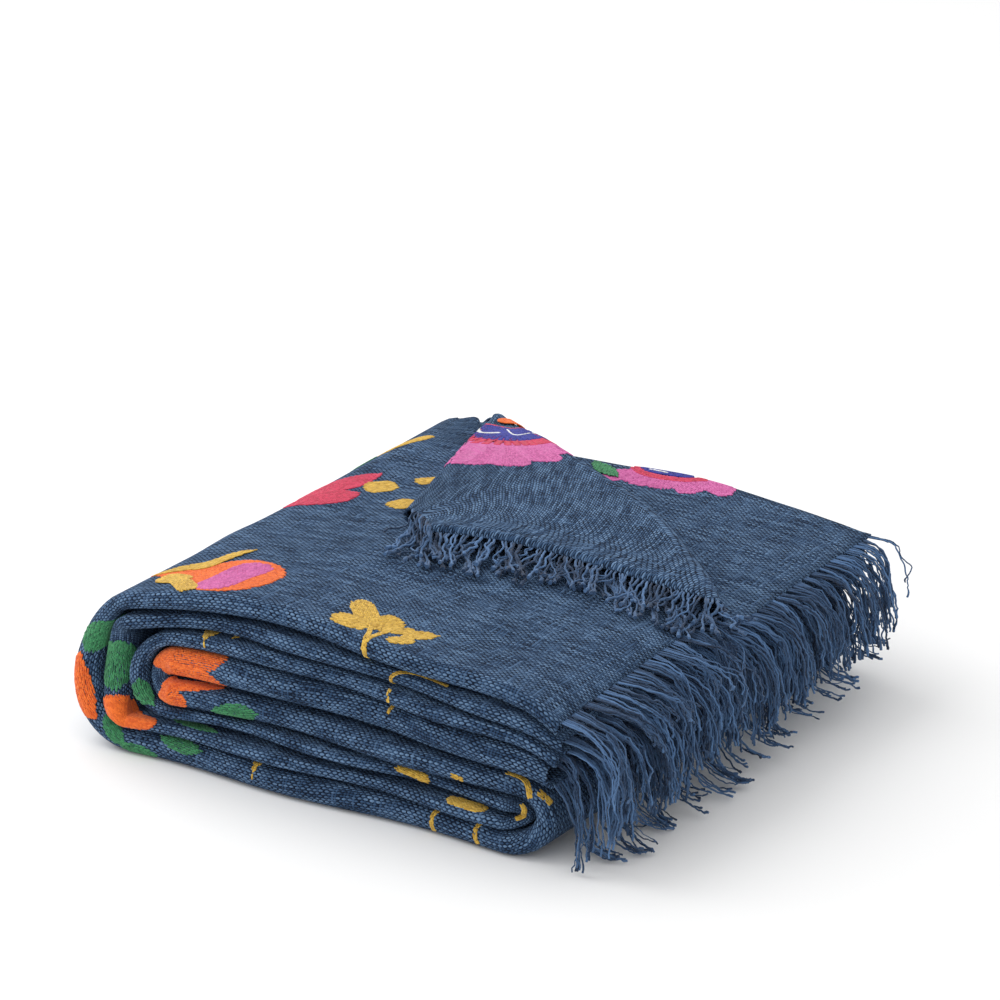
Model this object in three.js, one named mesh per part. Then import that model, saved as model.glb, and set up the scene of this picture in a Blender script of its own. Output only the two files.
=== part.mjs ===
// A cotton throw, folded into a loose stack with one corner turned back on top.
// Millimetres, +Z up. X runs along the throw's length, Y along its width, and -Y is the front.

import * as THREE from 'three';

// The throw as woven
const THROW_LENGTH = 1500; // between the roots of its two fringes
const THROW_WIDTH = 1300; // between its plain edges
const CLOTH_THICKNESS = 2.4;
// Points of the underside that are as near the floor as this lie on it
const FLOOR_FIT = 0.1;

// How it is folded: the length in four passes, the width in three layers and a tuck
const PASS_COUNT = 4;
const LAYER_COUNT = 3;
const TUCK = 45; // of the upper plain edge, turned under along the front
const LENGTH_SAVED_BY_TURNS = 84; // the turns lie inside the stack's length
const WIDTH_TAKEN_BY_LOOPS = 25; // the round of the loops along the front and back
const STACK_LENGTH = (THROW_LENGTH + LENGTH_SAVED_BY_TURNS) / PASS_COUNT;
const STACK_DEPTH = (THROW_WIDTH - TUCK - WIDTH_TAKEN_BY_LOOPS) / LAYER_COUNT;
const LEFT = -STACK_LENGTH / 2;
const RIGHT = STACK_LENGTH / 2;
const FRONT = -STACK_DEPTH / 2;
const BACK = STACK_DEPTH / 2;

// Height of the stack's upper face along X, at its front edge, its middle and its back edge
const STACK_HEIGHTS = [
  { x: LEFT, front: 101, middle: 103, back: 106 },
  { x: -150, front: 117, middle: 120, back: 127 },
  { x: -100, front: 129, middle: 125, back: 123 },
  { x: -50, front: 133, middle: 127, back: 125 },
  { x: 0, front: 131, middle: 126, back: 124 },
  { x: 75, front: 124, middle: 124, back: 126 },
  { x: 140, front: 118, middle: 120, back: 123 },
  { x: 175, front: 111, middle: 117, back: 118 },
  { x: RIGHT, front: 99, middle: 112, back: 113 },
];

// Share of the stack's height at which each layer lies, at the front edge and at the back edge
const LAYER_SHARES = {
  first: {
    a: { front: 1, back: 1 },
    tuck: { front: 0.905, back: 0.95 },
    b: { front: 0.856, back: 0.962 },
    c: { front: 0.79, back: 0.924 },
  },
  second: {
    c: { front: 0.752, back: 0.86 },
    b: { front: 0.685, back: 0.76 },
    tuck: { front: 0.647, back: 0.71 },
    a: { front: 0.512, back: 0.6 },
  },
  third: {
    a: { front: 0.46, back: 0.54 },
    tuck: { front: 0.352, back: 0.43 },
    b: { front: 0.313, back: 0.385 },
    c: { front: 0.272, back: 0.335 },
  },
  fourth: {
    c: { front: 0.215, back: 0.275 },
    b: { front: 0.162, back: 0.17 },
    tuck: { front: 0.124, back: 0.13 },
    a: { front: 0, back: 0 },
  },
};

// Turns of the length: where each starts, and how far along X each layer goes round it
const TURNS = {
  outer: { centre: -150, a: LEFT - 3, tuck: -181, b: -177, c: -157 },
  right: { centre: 160, a: 193, tuck: 180, b: 176, c: 168 },
  inner: { centre: -112, a: -119, tuck: -136, b: -140, c: -151 },
};
const TURN_FULLNESS = 0.95; // 1 is an ellipse, less is a squarer turn

// Where the fringed ends lie along X
const ENDS = {
  first: { a: RIGHT, tuck: RIGHT - 2, b: RIGHT + 1, c: RIGHT + 4 },
  second: { a: RIGHT - 5, tuck: RIGHT - 7, b: RIGHT - 2, c: RIGHT },
};

// The throw's length from one fringed end to the other, a row for each pass or turn
const ROUTE = [
  { pass: 'first', from: 'end', to: 'outer', steps: 6 },
  { turn: 'outer', above: 'first', below: 'fourth', steps: 9 },
  { pass: 'fourth', from: 'outer', to: 'right', steps: 5 },
  { turn: 'right', above: 'fourth', below: 'third', steps: 7 },
  { pass: 'third', from: 'right', to: 'inner', steps: 5 },
  { turn: 'inner', above: 'third', below: 'second', steps: 7 },
  { pass: 'second', from: 'inner', to: 'end', steps: 6 },
];

// How far the loops and edges wander in and out along the route
const LOOP_WANDER = {
  tuckToA: { reach: 3, waves: 9, start: 0.4 },
  bToC: { reach: 3.5, waves: 11, start: 2.1 },
  aToB: { reach: 4, waves: 8, start: 1.2 },
  plainEdge: { reach: 5, waves: 7, start: 3.3 },
};
const CORNER_SETBACK = 5; // of the loops where they go round a turn
const LOWER_SPREAD = 7; // the front of the lowest layer stands out this far beyond the uppermost
const LOOP_STEPS = 4;

// The turned corner: the fold meets the fringed end at x = RIGHT and the back edge at y = BACK
const FOLD_ON_END_Y = -20;
const FOLD_ON_BACK_X = -118;
const FOLD_BOW = 30; // of the fold line, toward the free corner
const TURNED_CORNER = new THREE.Vector3(-30, -48, 0);
const FOLD_INNER_RADIUS = 2.2;
const FLAP_CLEARANCE = 2 * FOLD_INNER_RADIUS - CLOTH_THICKNESS;
const FLAP_PITCH = 10; // between its two layers where it lies flat
const FLAP_LIFT = 5; // of the turned corner above the stack
const FLAP_EDGE_DROP = 4; // of the upper layer along the fringed edge
const FLAP_EDGE_INSET = 7; // of the lower layer from the upper one there
const FLAP_EDGE_BOW = 22; // of that edge, back from a straight line
const FLAP_EDGE_BANDS = [0, 8, 24]; // lines along the fringed edge, measured from it
const FLAP_BEND_STEPS = 5;
const FLAP_LYING_STEPS = 7;
const FLAP_END_SHARE = 0.9; // the corner is soft, so the layers stop short of a point

// Shares of the way from the fold to the corner by which its edge and its layers have settled
const FLAP_EDGE_SETTLED = 0.125;
const FLAP_PITCH_SETTLED = 0.33;

// Steps across a layer, as shares from front to back
const FOLD_DEPTH = (FOLD_ON_END_Y - FRONT) / STACK_DEPTH;
const FOLD_RUN = Math.hypot(RIGHT - FOLD_ON_BACK_X, BACK - FOLD_ON_END_Y);
const TURNED_SHARES = [...FLAP_EDGE_BANDS.map((band) => band / FOLD_RUN), 0.3, 0.55, 0.8, 1];
const TURNED_DEPTHS = TURNED_SHARES.map((share) => FOLD_DEPTH + share * (1 - FOLD_DEPTH));
const WIDE_DEPTHS = [0, FOLD_DEPTH / 2, ...TURNED_DEPTHS];
const PLAIN_DEPTHS = [0, 0.17, 0.34, 0.51, 0.68, 0.85, 1];

// Fringe: each strand is a tapering yarn
const STRAND_WIDTH = 3;
const STRAND_DEPTH = 2;
const STRAND_TAPER = 0.7;
const REACH_SCATTER = 0.025;
const LENGTH_SCATTER = 0.1;
const SLANT_SCATTER = 0.22; // of the pitch between strands
const BOW_SAVING = 0.55; // the share of its reach by which a bowed strand hangs less far down
const STRIP_GAP = 0.7; // between the strip and the cloth's edge
const STRIP_WIDTH = 4;
const FLOOR_CLEARANCE = 2;
const BACK_TIP_RISE = 32; // of the strand tips toward the back, where the strands are shorter
const BACK_TIPS_FROM = -60;

// The fringes, with how far out their strands reach and how long the strands are
const FRINGES = [
  { name: 'fringe_first_a', edge: 'firstA', shape: 'hanging', strands: 22, reach: 44, length: 78 },
  { name: 'fringe_first_b', edge: 'firstB', shape: 'hanging', strands: 22, reach: 39, length: 78 },
  { name: 'fringe_first_c', edge: 'firstC', shape: 'hanging', strands: 46, reach: 31, length: 76 },
  { name: 'fringe_second_c', edge: 'secondC', shape: 'hanging', strands: 40, reach: 30, length: 72 },
  { name: 'fringe_second_b', edge: 'secondB', shape: 'hanging', strands: 36, reach: 26, length: 60 },
  { name: 'fringe_second_a', edge: 'secondA', shape: 'splayed', strands: 34, reach: 40, length: 90 },
  { name: 'fringe_flap_upper', edge: 'flapB', shape: 'lying', strands: 27, reach: 34, bed: 4.8 },
  { name: 'fringe_flap_lower', edge: 'flapA', shape: 'lying', strands: 22, reach: 40, bed: 1.6 },
];

// Points along a strand, as shares of its reach and of its fall
const STRAND_SHAPES = {
  hanging: [
    { out: 0.6, down: 0.12 },
    { out: 0.92, down: 0.46 },
    { out: 1, down: 1 },
  ],
  splayed: [
    { out: 0.25, down: 0.45 },
    { out: 0.5, down: 0.86 },
    { out: 1, down: 1 },
  ],
  lying: [
    { out: 0.35, down: 0.2 },
    { out: 0.7, down: 0.75 },
    { out: 1, down: 1 },
  ],
};

const UP = new THREE.Vector3(0, 0, 1);
const { lerp, smoothstep } = THREE.MathUtils;

// A number between -1 and 1 that is always the same for the same strand
function scatter(index, salt) {
  const value = Math.sin(index * 12.9898 + salt * 78.233) * 43758.5453;
  return 2 * (value - Math.floor(value)) - 1;
}

// A smooth curve through one column of the height table
function heightAlong(x, column) {
  const rows = STACK_HEIGHTS;
  const last = rows.length - 1;
  const held = THREE.MathUtils.clamp(x, rows[0].x, rows[last].x);
  const i = Math.min(last - 1, rows.findLastIndex((row) => row.x <= held));
  const slope = (k) => {
    const before = rows[Math.max(0, k - 1)];
    const after = rows[Math.min(last, k + 1)];
    return (after[column] - before[column]) / (after.x - before.x);
  };
  const span = rows[i + 1].x - rows[i].x;
  const s = (held - rows[i].x) / span;
  const rise = s * s * (3 - 2 * s);
  const bend = slope(i) * s * (1 - s) * (1 - s) - slope(i + 1) * s * s * (1 - s);
  return lerp(rows[i][column], rows[i + 1][column], rise) + bend * span;
}

function stackHeight(x, y) {
  const share = THREE.MathUtils.clamp((y - FRONT) / STACK_DEPTH, 0, 1);
  const ends = lerp(heightAlong(x, 'front'), heightAlong(x, 'back'), share);
  const middle = heightAlong(x, 'middle');
  const evenEnds = (heightAlong(x, 'front') + heightAlong(x, 'back')) / 2;
  return ends + (middle - evenEnds) * Math.sin(Math.PI * share);
}

function wander(kind, pathShare) {
  const { reach, waves, start } = LOOP_WANDER[kind];
  return reach * Math.sin(2 * Math.PI * waves * pathShare + start);
}

function layerShare(pass, layer, depth) {
  const { front, back } = LAYER_SHARES[pass][layer];
  return lerp(front, back, depth);
}

// Layers a and b of the first pass end at the fold line where the corner is turned back
function endAt(pass, layer, depth) {
  const end = ENDS[pass][layer];
  const turned = pass === 'first' && (layer === 'a' || layer === 'b') && depth > FOLD_DEPTH;
  const along = (depth - FOLD_DEPTH) / (1 - FOLD_DEPTH);
  return turned ? lerp(RIGHT, FOLD_ON_BACK_X, along) + FOLD_BOW * Math.sin(Math.PI * along) : end;
}

// The share of the stack's height at which a layer lies at one step of the route
function shareAt({ section, along }, layer, depth) {
  if (section.pass) {
    return layerShare(section.pass, layer, depth);
  }
  const start = layerShare(section.above, layer, depth);
  const end = layerShare(section.below, layer, depth);
  return (start + end) / 2 + ((start - end) / 2) * Math.cos(Math.PI * along);
}

// The middle of the cloth at one step of the route, in one layer
function layerPoint(step, layer, depth, y) {
  const { section, along } = step;
  let x;
  if (section.pass) {
    const place = (name) => (name === 'end' ? endAt(section.pass, layer, depth) : TURNS[name].centre);
    x = lerp(place(section.from), place(section.to), along);
  } else {
    const turn = TURNS[section.turn];
    x = turn.centre + (turn[layer] - turn.centre) * Math.sin(Math.PI * along) ** TURN_FULLNESS;
  }
  const z = CLOTH_THICKNESS / 2 + shareAt(step, layer, depth) * (stackHeight(x, y) - CLOTH_THICKNESS);
  return new THREE.Vector3(x, y, z);
}

// Half a round from one layer to the next, without its two ends
function loopPoints(first, last, outward) {
  const centre = first.clone().add(last).multiplyScalar(0.5);
  const half = first.clone().sub(last).multiplyScalar(0.5);
  const radius = half.length();
  const points = [];
  for (let k = 1; k < LOOP_STEPS; k += 1) {
    const angle = (Math.PI * k) / LOOP_STEPS;
    const point = centre.clone().addScaledVector(half, Math.cos(angle));
    points.push(point.addScaledVector(outward, radius * Math.sin(angle)));
  }
  return points;
}

function halfGap(step, layerOne, layerTwo, depth, y) {
  return layerPoint(step, layerOne, depth, y).distanceTo(layerPoint(step, layerTwo, depth, y)) / 2;
}

// The back-and-forth section across the width at one step of the route
function crossSection(step) {
  const { section, along, pathShare } = step;
  const setback = section.turn ? CORNER_SETBACK * Math.sin(Math.PI * along) : 0;
  const front = FRONT + setback - LOWER_SPREAD * (1 - shareAt(step, 'a', 0));
  const frontA = front + wander('tuckToA', pathShare);
  const frontC = front + wander('bToC', pathShare);
  const backA = BACK - setback + wander('aToB', pathShare);
  const backC = BACK - setback + wander('plainEdge', pathShare);
  const loopTuck = halfGap(step, 'tuck', 'a', 0, frontA);
  const loopBack = halfGap(step, 'a', 'b', 1, backA);
  const loopFront = halfGap(step, 'b', 'c', 0, frontC);
  const run = (layer, depths, from, to) =>
    depths.map((depth) => layerPoint(step, layer, depth, lerp(from, to, depth)));
  const a = run('a', WIDE_DEPTHS, frontA + loopTuck, backA - loopBack);
  const b = run('b', WIDE_DEPTHS, frontC + loopFront, backA - loopBack).reverse();
  const c = run('c', PLAIN_DEPTHS, frontC + loopFront, backC);
  const tuckEdge = layerPoint(step, 'tuck', 0, frontA + TUCK);
  const tuckFront = layerPoint(step, 'tuck', 0, frontA + loopTuck);
  const towardFront = new THREE.Vector3(0, -1, 0);
  const towardBack = new THREE.Vector3(0, 1, 0);
  return [
    tuckEdge,
    tuckFront,
    ...loopPoints(tuckFront, a[0], towardFront),
    ...a,
    ...loopPoints(a.at(-1), b[0], towardBack),
    ...b,
    ...loopPoints(b.at(-1), c[0], towardFront),
    ...c,
  ];
}

// Columns of the section at which each layer starts
const A_START = 2 + LOOP_STEPS - 1;
const A_END = A_START + WIDE_DEPTHS.length - 1;
const B_START = A_END + LOOP_STEPS;
const B_END = B_START + WIDE_DEPTHS.length - 1;
const C_START = B_END + LOOP_STEPS;
const C_END = C_START + PLAIN_DEPTHS.length - 1;
const FOLD_START = A_END - TURNED_DEPTHS.length + 1;
const FOLD_END = B_START + TURNED_DEPTHS.length - 1;

function routeSteps() {
  const total = ROUTE.reduce((sum, section) => sum + section.steps, 0);
  const steps = [];
  for (const section of ROUTE) {
    const first = steps.length === 0 ? 0 : 1;
    for (let k = first; k <= section.steps; k += 1) {
      steps.push({ section, along: k / section.steps, pathShare: steps.length / total });
    }
  }
  return steps;
}

// The way along the fold line of the turned corner, from the fringed end to the back
function foldWay() {
  return new THREE.Vector3(FOLD_ON_BACK_X - RIGHT, BACK - FOLD_ON_END_Y, 0).normalize();
}

// Rows of the turned corner, each with the columns from the fold in layer a round to that in layer b
function flapRows(foldEdge) {
  const turnedCount = TURNED_DEPTHS.length;
  const lowerFold = foldEdge.slice(0, turnedCount);
  const upperFold = foldEdge.slice(-turnedCount).reverse();
  const alongFold = foldWay();
  const awayFromFlap = new THREE.Vector3(alongFold.y, -alongFold.x, 0);

  const bentPoint = (fold, index, angle) => {
    const axisHeight = lowerFold[index].z + FOLD_INNER_RADIUS;
    const radius = axisHeight - fold[index].z;
    const point = fold[index].clone().addScaledVector(awayFromFlap, radius * Math.sin(angle));
    return point.setZ(axisHeight - radius * Math.cos(angle));
  };

  const lyingPoint = (fold, index, lying) => {
    const isUpper = fold === upperFold;
    const settled = smoothstep(lying, 0, FLAP_EDGE_SETTLED);
    const point = fold[index].clone().lerp(TURNED_CORNER, lying);
    if (index < FLAP_EDGE_BANDS.length) {
      const band = FLAP_EDGE_BANDS[index];
      const wanted = (band + (isUpper ? 0 : FLAP_EDGE_INSET * settled)) * Math.sqrt(1 - lying);
      point.addScaledVector(alongFold, wanted - band * (1 - lying));
    }
    const bow = FLAP_EDGE_BOW * Math.sin(Math.PI * (lying / FLAP_END_SHARE) ** 1.5);
    point.addScaledVector(alongFold, bow * (1 - TURNED_SHARES[index]));
    const pitchAtFold = lowerFold[index].z - upperFold[index].z;
    const pitch = lerp(pitchAtFold, FLAP_PITCH, smoothstep(lying, 0, FLAP_PITCH_SETTLED));
    const drop = index === 0 ? FLAP_EDGE_DROP * settled : 0;
    const lower = stackHeight(point.x, point.y) + CLOTH_THICKNESS / 2 + FLAP_CLEARANCE;
    return point.setZ(lower + FLAP_LIFT * lying * lying + (isUpper ? pitch - drop : 0));
  };

  // The loop between its two layers at the far end of a row faces back, and turns over with them
  const loopWay = (angle) => {
    const way = alongFold.clone().multiplyScalar(alongFold.y);
    way.addScaledVector(awayFromFlap, awayFromFlap.y * Math.cos(angle));
    return way.addScaledVector(UP, awayFromFlap.y * Math.sin(angle)).normalize();
  };

  const rowOf = (angle, place) => {
    const lower = lowerFold.map((_, index) => place(lowerFold, index));
    const upper = upperFold.map((_, index) => place(upperFold, index)).reverse();
    return [...lower, ...loopPoints(lower.at(-1), upper[0], loopWay(angle)), ...upper];
  };

  const rows = [];
  for (let k = 1; k <= FLAP_BEND_STEPS; k += 1) {
    const angle = (Math.PI * k) / FLAP_BEND_STEPS;
    rows.push(rowOf(angle, (fold, index) => bentPoint(fold, index, angle)));
  }
  for (let k = 1; k <= FLAP_LYING_STEPS; k += 1) {
    const lying = (FLAP_END_SHARE * k) / FLAP_LYING_STEPS;
    rows.push(rowOf(Math.PI, (fold, index) => lyingPoint(fold, index, lying)));
  }
  return rows;
}

// The middle surface of the whole throw: its points, and its faces by their four corners
function middleSurface() {
  const sections = routeSteps().map(crossSection);
  const columns = sections[0].length;
  const points = sections.flat();
  const faces = [];
  const at = (row, column) => row * columns + column;
  for (let row = 0; row + 1 < sections.length; row += 1) {
    for (let column = 0; column + 1 < columns; column += 1) {
      faces.push([at(row, column), at(row, column + 1), at(row + 1, column + 1), at(row + 1, column)]);
    }
  }
  const foldEdge = sections[0].slice(FOLD_START, FOLD_END + 1);
  const rows = flapRows(foldEdge);
  let previous = foldEdge.map((_, index) => FOLD_START + index);
  for (const row of rows) {
    const start = points.length;
    points.push(...row);
    const current = row.map((_, index) => start + index);
    for (let k = 0; k + 1 < row.length; k += 1) {
      faces.push([previous[k + 1], previous[k], current[k], current[k + 1]]);
    }
    previous = current;
  }
  return { points, faces, sections, flap: rows.slice(FLAP_BEND_STEPS - 1) };
}

// A closed mesh from a middle surface, with the cloth's thickness shared between its two sides
function thickened(points, faces) {
  const normals = points.map(() => new THREE.Vector3());
  const edges = new Map();
  for (const [p, q, r, s] of faces) {
    const one = points[r].clone().sub(points[p]);
    const two = points[s].clone().sub(points[q]);
    const normal = one.cross(two);
    for (const corner of [p, q, r, s]) {
      normals[corner].add(normal.clone().normalize());
    }
    for (const [from, to] of [[p, q], [q, r], [r, s], [s, p]]) {
      edges.set(`${from},${to}`, [from, to]);
    }
  }
  const positions = [];
  for (const side of [1, -1]) {
    points.forEach((point, index) => {
      const moved = point.clone().addScaledVector(normals[index].normalize(), (side * CLOTH_THICKNESS) / 2);
      positions.push(moved.x, moved.y, moved.z < FLOOR_FIT ? 0 : moved.z);
    });
  }
  const under = points.length;
  const indices = [];
  for (const [p, q, r, s] of faces) {
    indices.push(p, q, r, p, r, s);
    indices.push(under + p, under + r, under + q, under + p, under + s, under + r);
  }
  for (const [from, to] of edges.values()) {
    if (!edges.has(`${to},${from}`)) {
      indices.push(to, from, under + from, to, under + from, under + to);
    }
  }
  const geometry = new THREE.BufferGeometry();
  geometry.setAttribute('position', new THREE.Float32BufferAttribute(positions, 3));
  geometry.setIndex(indices);
  return geometry;
}

// Edge points of the cloth, each with the way that leads off the cloth there
function fringeEdges({ sections, flap }) {
  const endEdge = (edgeRow, innerRow, start, end) =>
    edgeRow.slice(start, end + 1).map((point, index) => ({
      point,
      outward: point.clone().sub(innerRow[start + index]).normalize(),
    }));
  const alongFold = foldWay();
  const turnedYarn = alongFold.clone().multiplyScalar(2 * alongFold.x).sub(new THREE.Vector3(1, 0, 0));
  const flapEdge = (edge) => flap.map((row) => ({ point: row.at(edge), outward: turnedYarn })).reverse();
  const [first, afterFirst] = sections;
  const [beforeLast, last] = sections.slice(-2);
  return {
    firstA: endEdge(first, afterFirst, A_START, FOLD_START),
    firstB: endEdge(first, afterFirst, FOLD_END, B_END).reverse(),
    firstC: endEdge(first, afterFirst, C_START, C_END),
    secondA: endEdge(last, beforeLast, A_START, A_END),
    secondB: endEdge(last, beforeLast, B_START, B_END).reverse(),
    secondC: endEdge(last, beforeLast, C_START, C_END),
    flapA: flapEdge(0),
    flapB: flapEdge(-1),
  };
}

// A point and its outward way at a share of an edge's length
function edgeAt(edge, lengths, share) {
  const target = share * lengths.at(-1);
  const found = lengths.findIndex((length) => length >= target);
  const next = Math.max(1, found);
  const part = (target - lengths[next - 1]) / (lengths[next] - lengths[next - 1]);
  return {
    point: edge[next - 1].point.clone().lerp(edge[next].point, part),
    outward: edge[next - 1].outward.clone().lerp(edge[next].outward, part).normalize(),
  };
}

// A narrow strip along an edge, with strands that grow out of its far side as one body
function fringeGeometry(edge, fringe) {
  const lengths = [0];
  for (let k = 1; k < edge.length; k += 1) {
    lengths.push(lengths[k - 1] + edge[k].point.distanceTo(edge[k - 1].point));
  }
  const total = lengths.at(-1);
  const pitch = total / fringe.strands;
  const lies = fringe.shape === 'lying';
  const shape = STRAND_SHAPES[fringe.shape];
  const positions = [];
  const indices = [];
  const add = (point) => positions.push(point.x, point.y, point.z) / 3 - 1;
  const quad = (p, q, r, s) => indices.push(p, q, r, p, r, s);
  const along = edge.at(-1).point.clone().sub(edge[0].point).setZ(0).normalize();

  const station = (distance) => {
    const { point, outward } = edgeAt(edge, lengths, THREE.MathUtils.clamp(distance / total, 0, 1));
    const over = outward.clone().cross(along).normalize();
    const half = (STRAND_DEPTH / 2) * (over.z < 0 ? -1 : 1);
    const inner = point.clone().addScaledVector(outward, STRIP_GAP);
    const rim = point.clone().addScaledVector(outward, STRIP_GAP + STRIP_WIDTH);
    return {
      rim,
      inner: add(inner),
      top: add(rim.clone().addScaledVector(over, half)),
      bottom: add(rim.clone().addScaledVector(over, -half)),
    };
  };

  const strand = (left, right, index) => {
    const root = left.rim.clone().lerp(right.rim, 0.5);
    const { outward } = edgeAt(edge, lengths, (index + 0.5) / fringe.strands);
    const level = outward.clone().setZ(0).normalize();
    const reach = fringe.reach * (1 + REACH_SCATTER * scatter(index, fringe.reach));
    const slant = SLANT_SCATTER * pitch * scatter(Math.floor(index / 2), fringe.strands);
    const fallAt = (point, down) => {
      if (lies) {
        return lerp(root.z, stackHeight(point.x, point.y) + fringe.bed, down);
      }
      const length = fringe.length * (1 + LENGTH_SCATTER * scatter(index, fringe.length));
      const lowest = FLOOR_CLEARANCE + BACK_TIP_RISE * smoothstep(root.y, BACK_TIPS_FROM, BACK);
      return root.z - down * Math.min(length - BOW_SAVING * reach, root.z - lowest);
    };
    let ring = [left.top, left.bottom, right.bottom, right.top];
    let before = root;
    shape.forEach(({ out, down }, k) => {
      const point = root.clone().addScaledVector(level, out * reach);
      point.addScaledVector(along, slant * out);
      point.z = fallAt(point, down);
      if (k === shape.length - 1) {
        const tip = add(point);
        ring.forEach((corner, c) => indices.push(corner, ring[(c + 1) % ring.length], tip));
        return;
      }
      const way = point.clone().sub(before).normalize();
      const over = way.cross(along).normalize();
      over.multiplyScalar(over.z + over.dot(level) < 0 ? -1 : 1);
      const width = (STRAND_WIDTH / 2) * STRAND_TAPER ** k;
      const half = (STRAND_DEPTH / 2) * STRAND_TAPER ** k;
      const corners = [[-1, 1], [-1, -1], [1, -1], [1, 1]].map(([side, height]) => {
        const corner = point.clone().addScaledVector(along, side * width);
        return add(corner.addScaledVector(over, height * half));
      });
      ring.forEach((corner, c) => {
        const after = (c + 1) % ring.length;
        quad(corner, ring[after], corners[after], corners[c]);
      });
      ring = corners;
      before = point;
    });
  };

  let previous = null;
  let firstStation = null;
  const join = (one, two) => {
    quad(one.inner, one.top, two.top, two.inner);
    quad(one.bottom, one.inner, two.inner, two.bottom);
  };
  for (let index = 0; index < fringe.strands; index += 1) {
    const middle = (index + 0.5) * pitch;
    const left = station(middle - STRAND_WIDTH / 2);
    const right = station(middle + STRAND_WIDTH / 2);
    if (previous) {
      join(previous, left);
      quad(previous.top, previous.bottom, left.bottom, left.top);
    } else {
      firstStation = left;
    }
    join(left, right);
    strand(left, right, index);
    previous = right;
  }
  indices.push(firstStation.inner, firstStation.bottom, firstStation.top);
  indices.push(previous.inner, previous.top, previous.bottom);
  const geometry = new THREE.BufferGeometry();
  geometry.setAttribute('position', new THREE.Float32BufferAttribute(positions, 3));
  geometry.setIndex(indices);
  return geometry;
}

function named(name, geometry, colour) {
  const material = new THREE.MeshStandardMaterial({ color: colour, roughness: 0.95, metalness: 0 });
  const mesh = new THREE.Mesh(geometry, material);
  mesh.name = name;
  return mesh;
}

const CLOTH_BLUE = 0x31507a;
const FRINGE_BLUE = 0x2c4a74;

const surface = middleSurface();
const throwGroup = new THREE.Group();
throwGroup.add(named('throw_cloth', thickened(surface.points, surface.faces), CLOTH_BLUE));
const edges = fringeEdges(surface);
for (const fringe of FRINGES) {
  throwGroup.add(named(fringe.name, fringeGeometry(edges[fringe.edge], fringe), FRINGE_BLUE));
}

// The origin is the middle of the whole throw's footprint, on the surface that it rests on
const bounds = new THREE.Box3().setFromObject(throwGroup);
const centre = bounds.getCenter(new THREE.Vector3());
throwGroup.position.set(-centre.x, -centre.y, 0);

export default throwGroup;
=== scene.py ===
import math

import bpy
import numpy as np
from mathutils import Matrix, Vector
from mathutils.bvhtree import BVHTree


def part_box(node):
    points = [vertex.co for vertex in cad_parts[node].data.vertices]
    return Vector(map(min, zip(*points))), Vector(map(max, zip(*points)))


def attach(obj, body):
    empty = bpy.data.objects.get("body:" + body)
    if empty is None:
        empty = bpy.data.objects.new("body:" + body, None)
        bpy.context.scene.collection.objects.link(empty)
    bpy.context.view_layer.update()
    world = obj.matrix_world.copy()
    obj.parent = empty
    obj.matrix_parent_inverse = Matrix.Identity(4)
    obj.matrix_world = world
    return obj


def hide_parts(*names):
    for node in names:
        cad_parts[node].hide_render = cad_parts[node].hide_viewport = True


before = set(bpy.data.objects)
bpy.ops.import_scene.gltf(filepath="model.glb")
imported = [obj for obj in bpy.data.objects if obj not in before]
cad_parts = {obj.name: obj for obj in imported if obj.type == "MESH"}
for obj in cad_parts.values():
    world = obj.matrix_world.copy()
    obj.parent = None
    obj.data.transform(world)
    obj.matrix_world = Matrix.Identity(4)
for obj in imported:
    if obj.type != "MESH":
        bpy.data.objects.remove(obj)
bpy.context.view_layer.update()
mm = 0.001  # the throw is laid out in millimetres about its stack, and turned to metres at the end
print("frame loaded")

# The folded throw. Its four passes, three layers and tuck are those of the solid, in finer steps.
throw = {
    "length": 1500, "width": 1300, "thickness": 2.0, "solidThickness": 2.4, "aboveFloor": 0.02,
    "passes": 4, "layers": 3, "tuck": 45, "savedByTurns": 84, "takenByLoops": 25,
    "turnFullness": 0.95, "cornerSetback": 5, "lowerSpread": 7, "loopSteps": 9, "tuckSteps": 6,
    "frontColumns": 26, "turnedColumns": 29, "plainColumns": 40, "measuredFromEdge": 8,
}
left = -(throw["length"] + throw["savedByTurns"]) / throw["passes"] / 2
right = -left
front = -(throw["width"] - throw["tuck"] - throw["takenByLoops"]) / throw["layers"] / 2
back = -front
depthOfStack = back - front

# Height of the stack's upper face along x, at its front edge, its middle and its back edge
stackHeights = {
    "x": (left, -150, -100, -50, 0, 75, 140, 175, right),
    "front": (101, 117, 129, 133, 131, 124, 118, 111, 99),
    "middle": (103, 120, 125, 127, 126, 124, 120, 117, 112),
    "back": (106, 127, 123, 125, 124, 126, 123, 118, 113),
}
# Share of that height at which each layer lies, at the front edge and at the back edge
layerShares = {
    "first": {"a": (1, 1), "tuck": (0.905, 0.95), "b": (0.856, 0.962), "c": (0.79, 0.924)},
    "second": {"c": (0.752, 0.86), "b": (0.685, 0.76), "tuck": (0.647, 0.71), "a": (0.512, 0.6)},
    "third": {"a": (0.46, 0.54), "tuck": (0.352, 0.43), "b": (0.313, 0.385), "c": (0.272, 0.335)},
    "fourth": {"c": (0.215, 0.275), "b": (0.162, 0.17), "tuck": (0.124, 0.13), "a": (0, 0)},
}
turns = {
    "outer": {"centre": -150, "a": left - 3, "tuck": -181, "b": -177, "c": -157},
    "right": {"centre": 160, "a": 193, "tuck": 180, "b": 176, "c": 168},
    "inner": {"centre": -112, "a": -119, "tuck": -136, "b": -140, "c": -151},
}
ends = {
    "first": {"a": right, "tuck": right - 2, "b": right + 1, "c": right + 4},
    "second": {"a": right - 5, "tuck": right - 7, "b": right - 2, "c": right},
}
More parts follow.
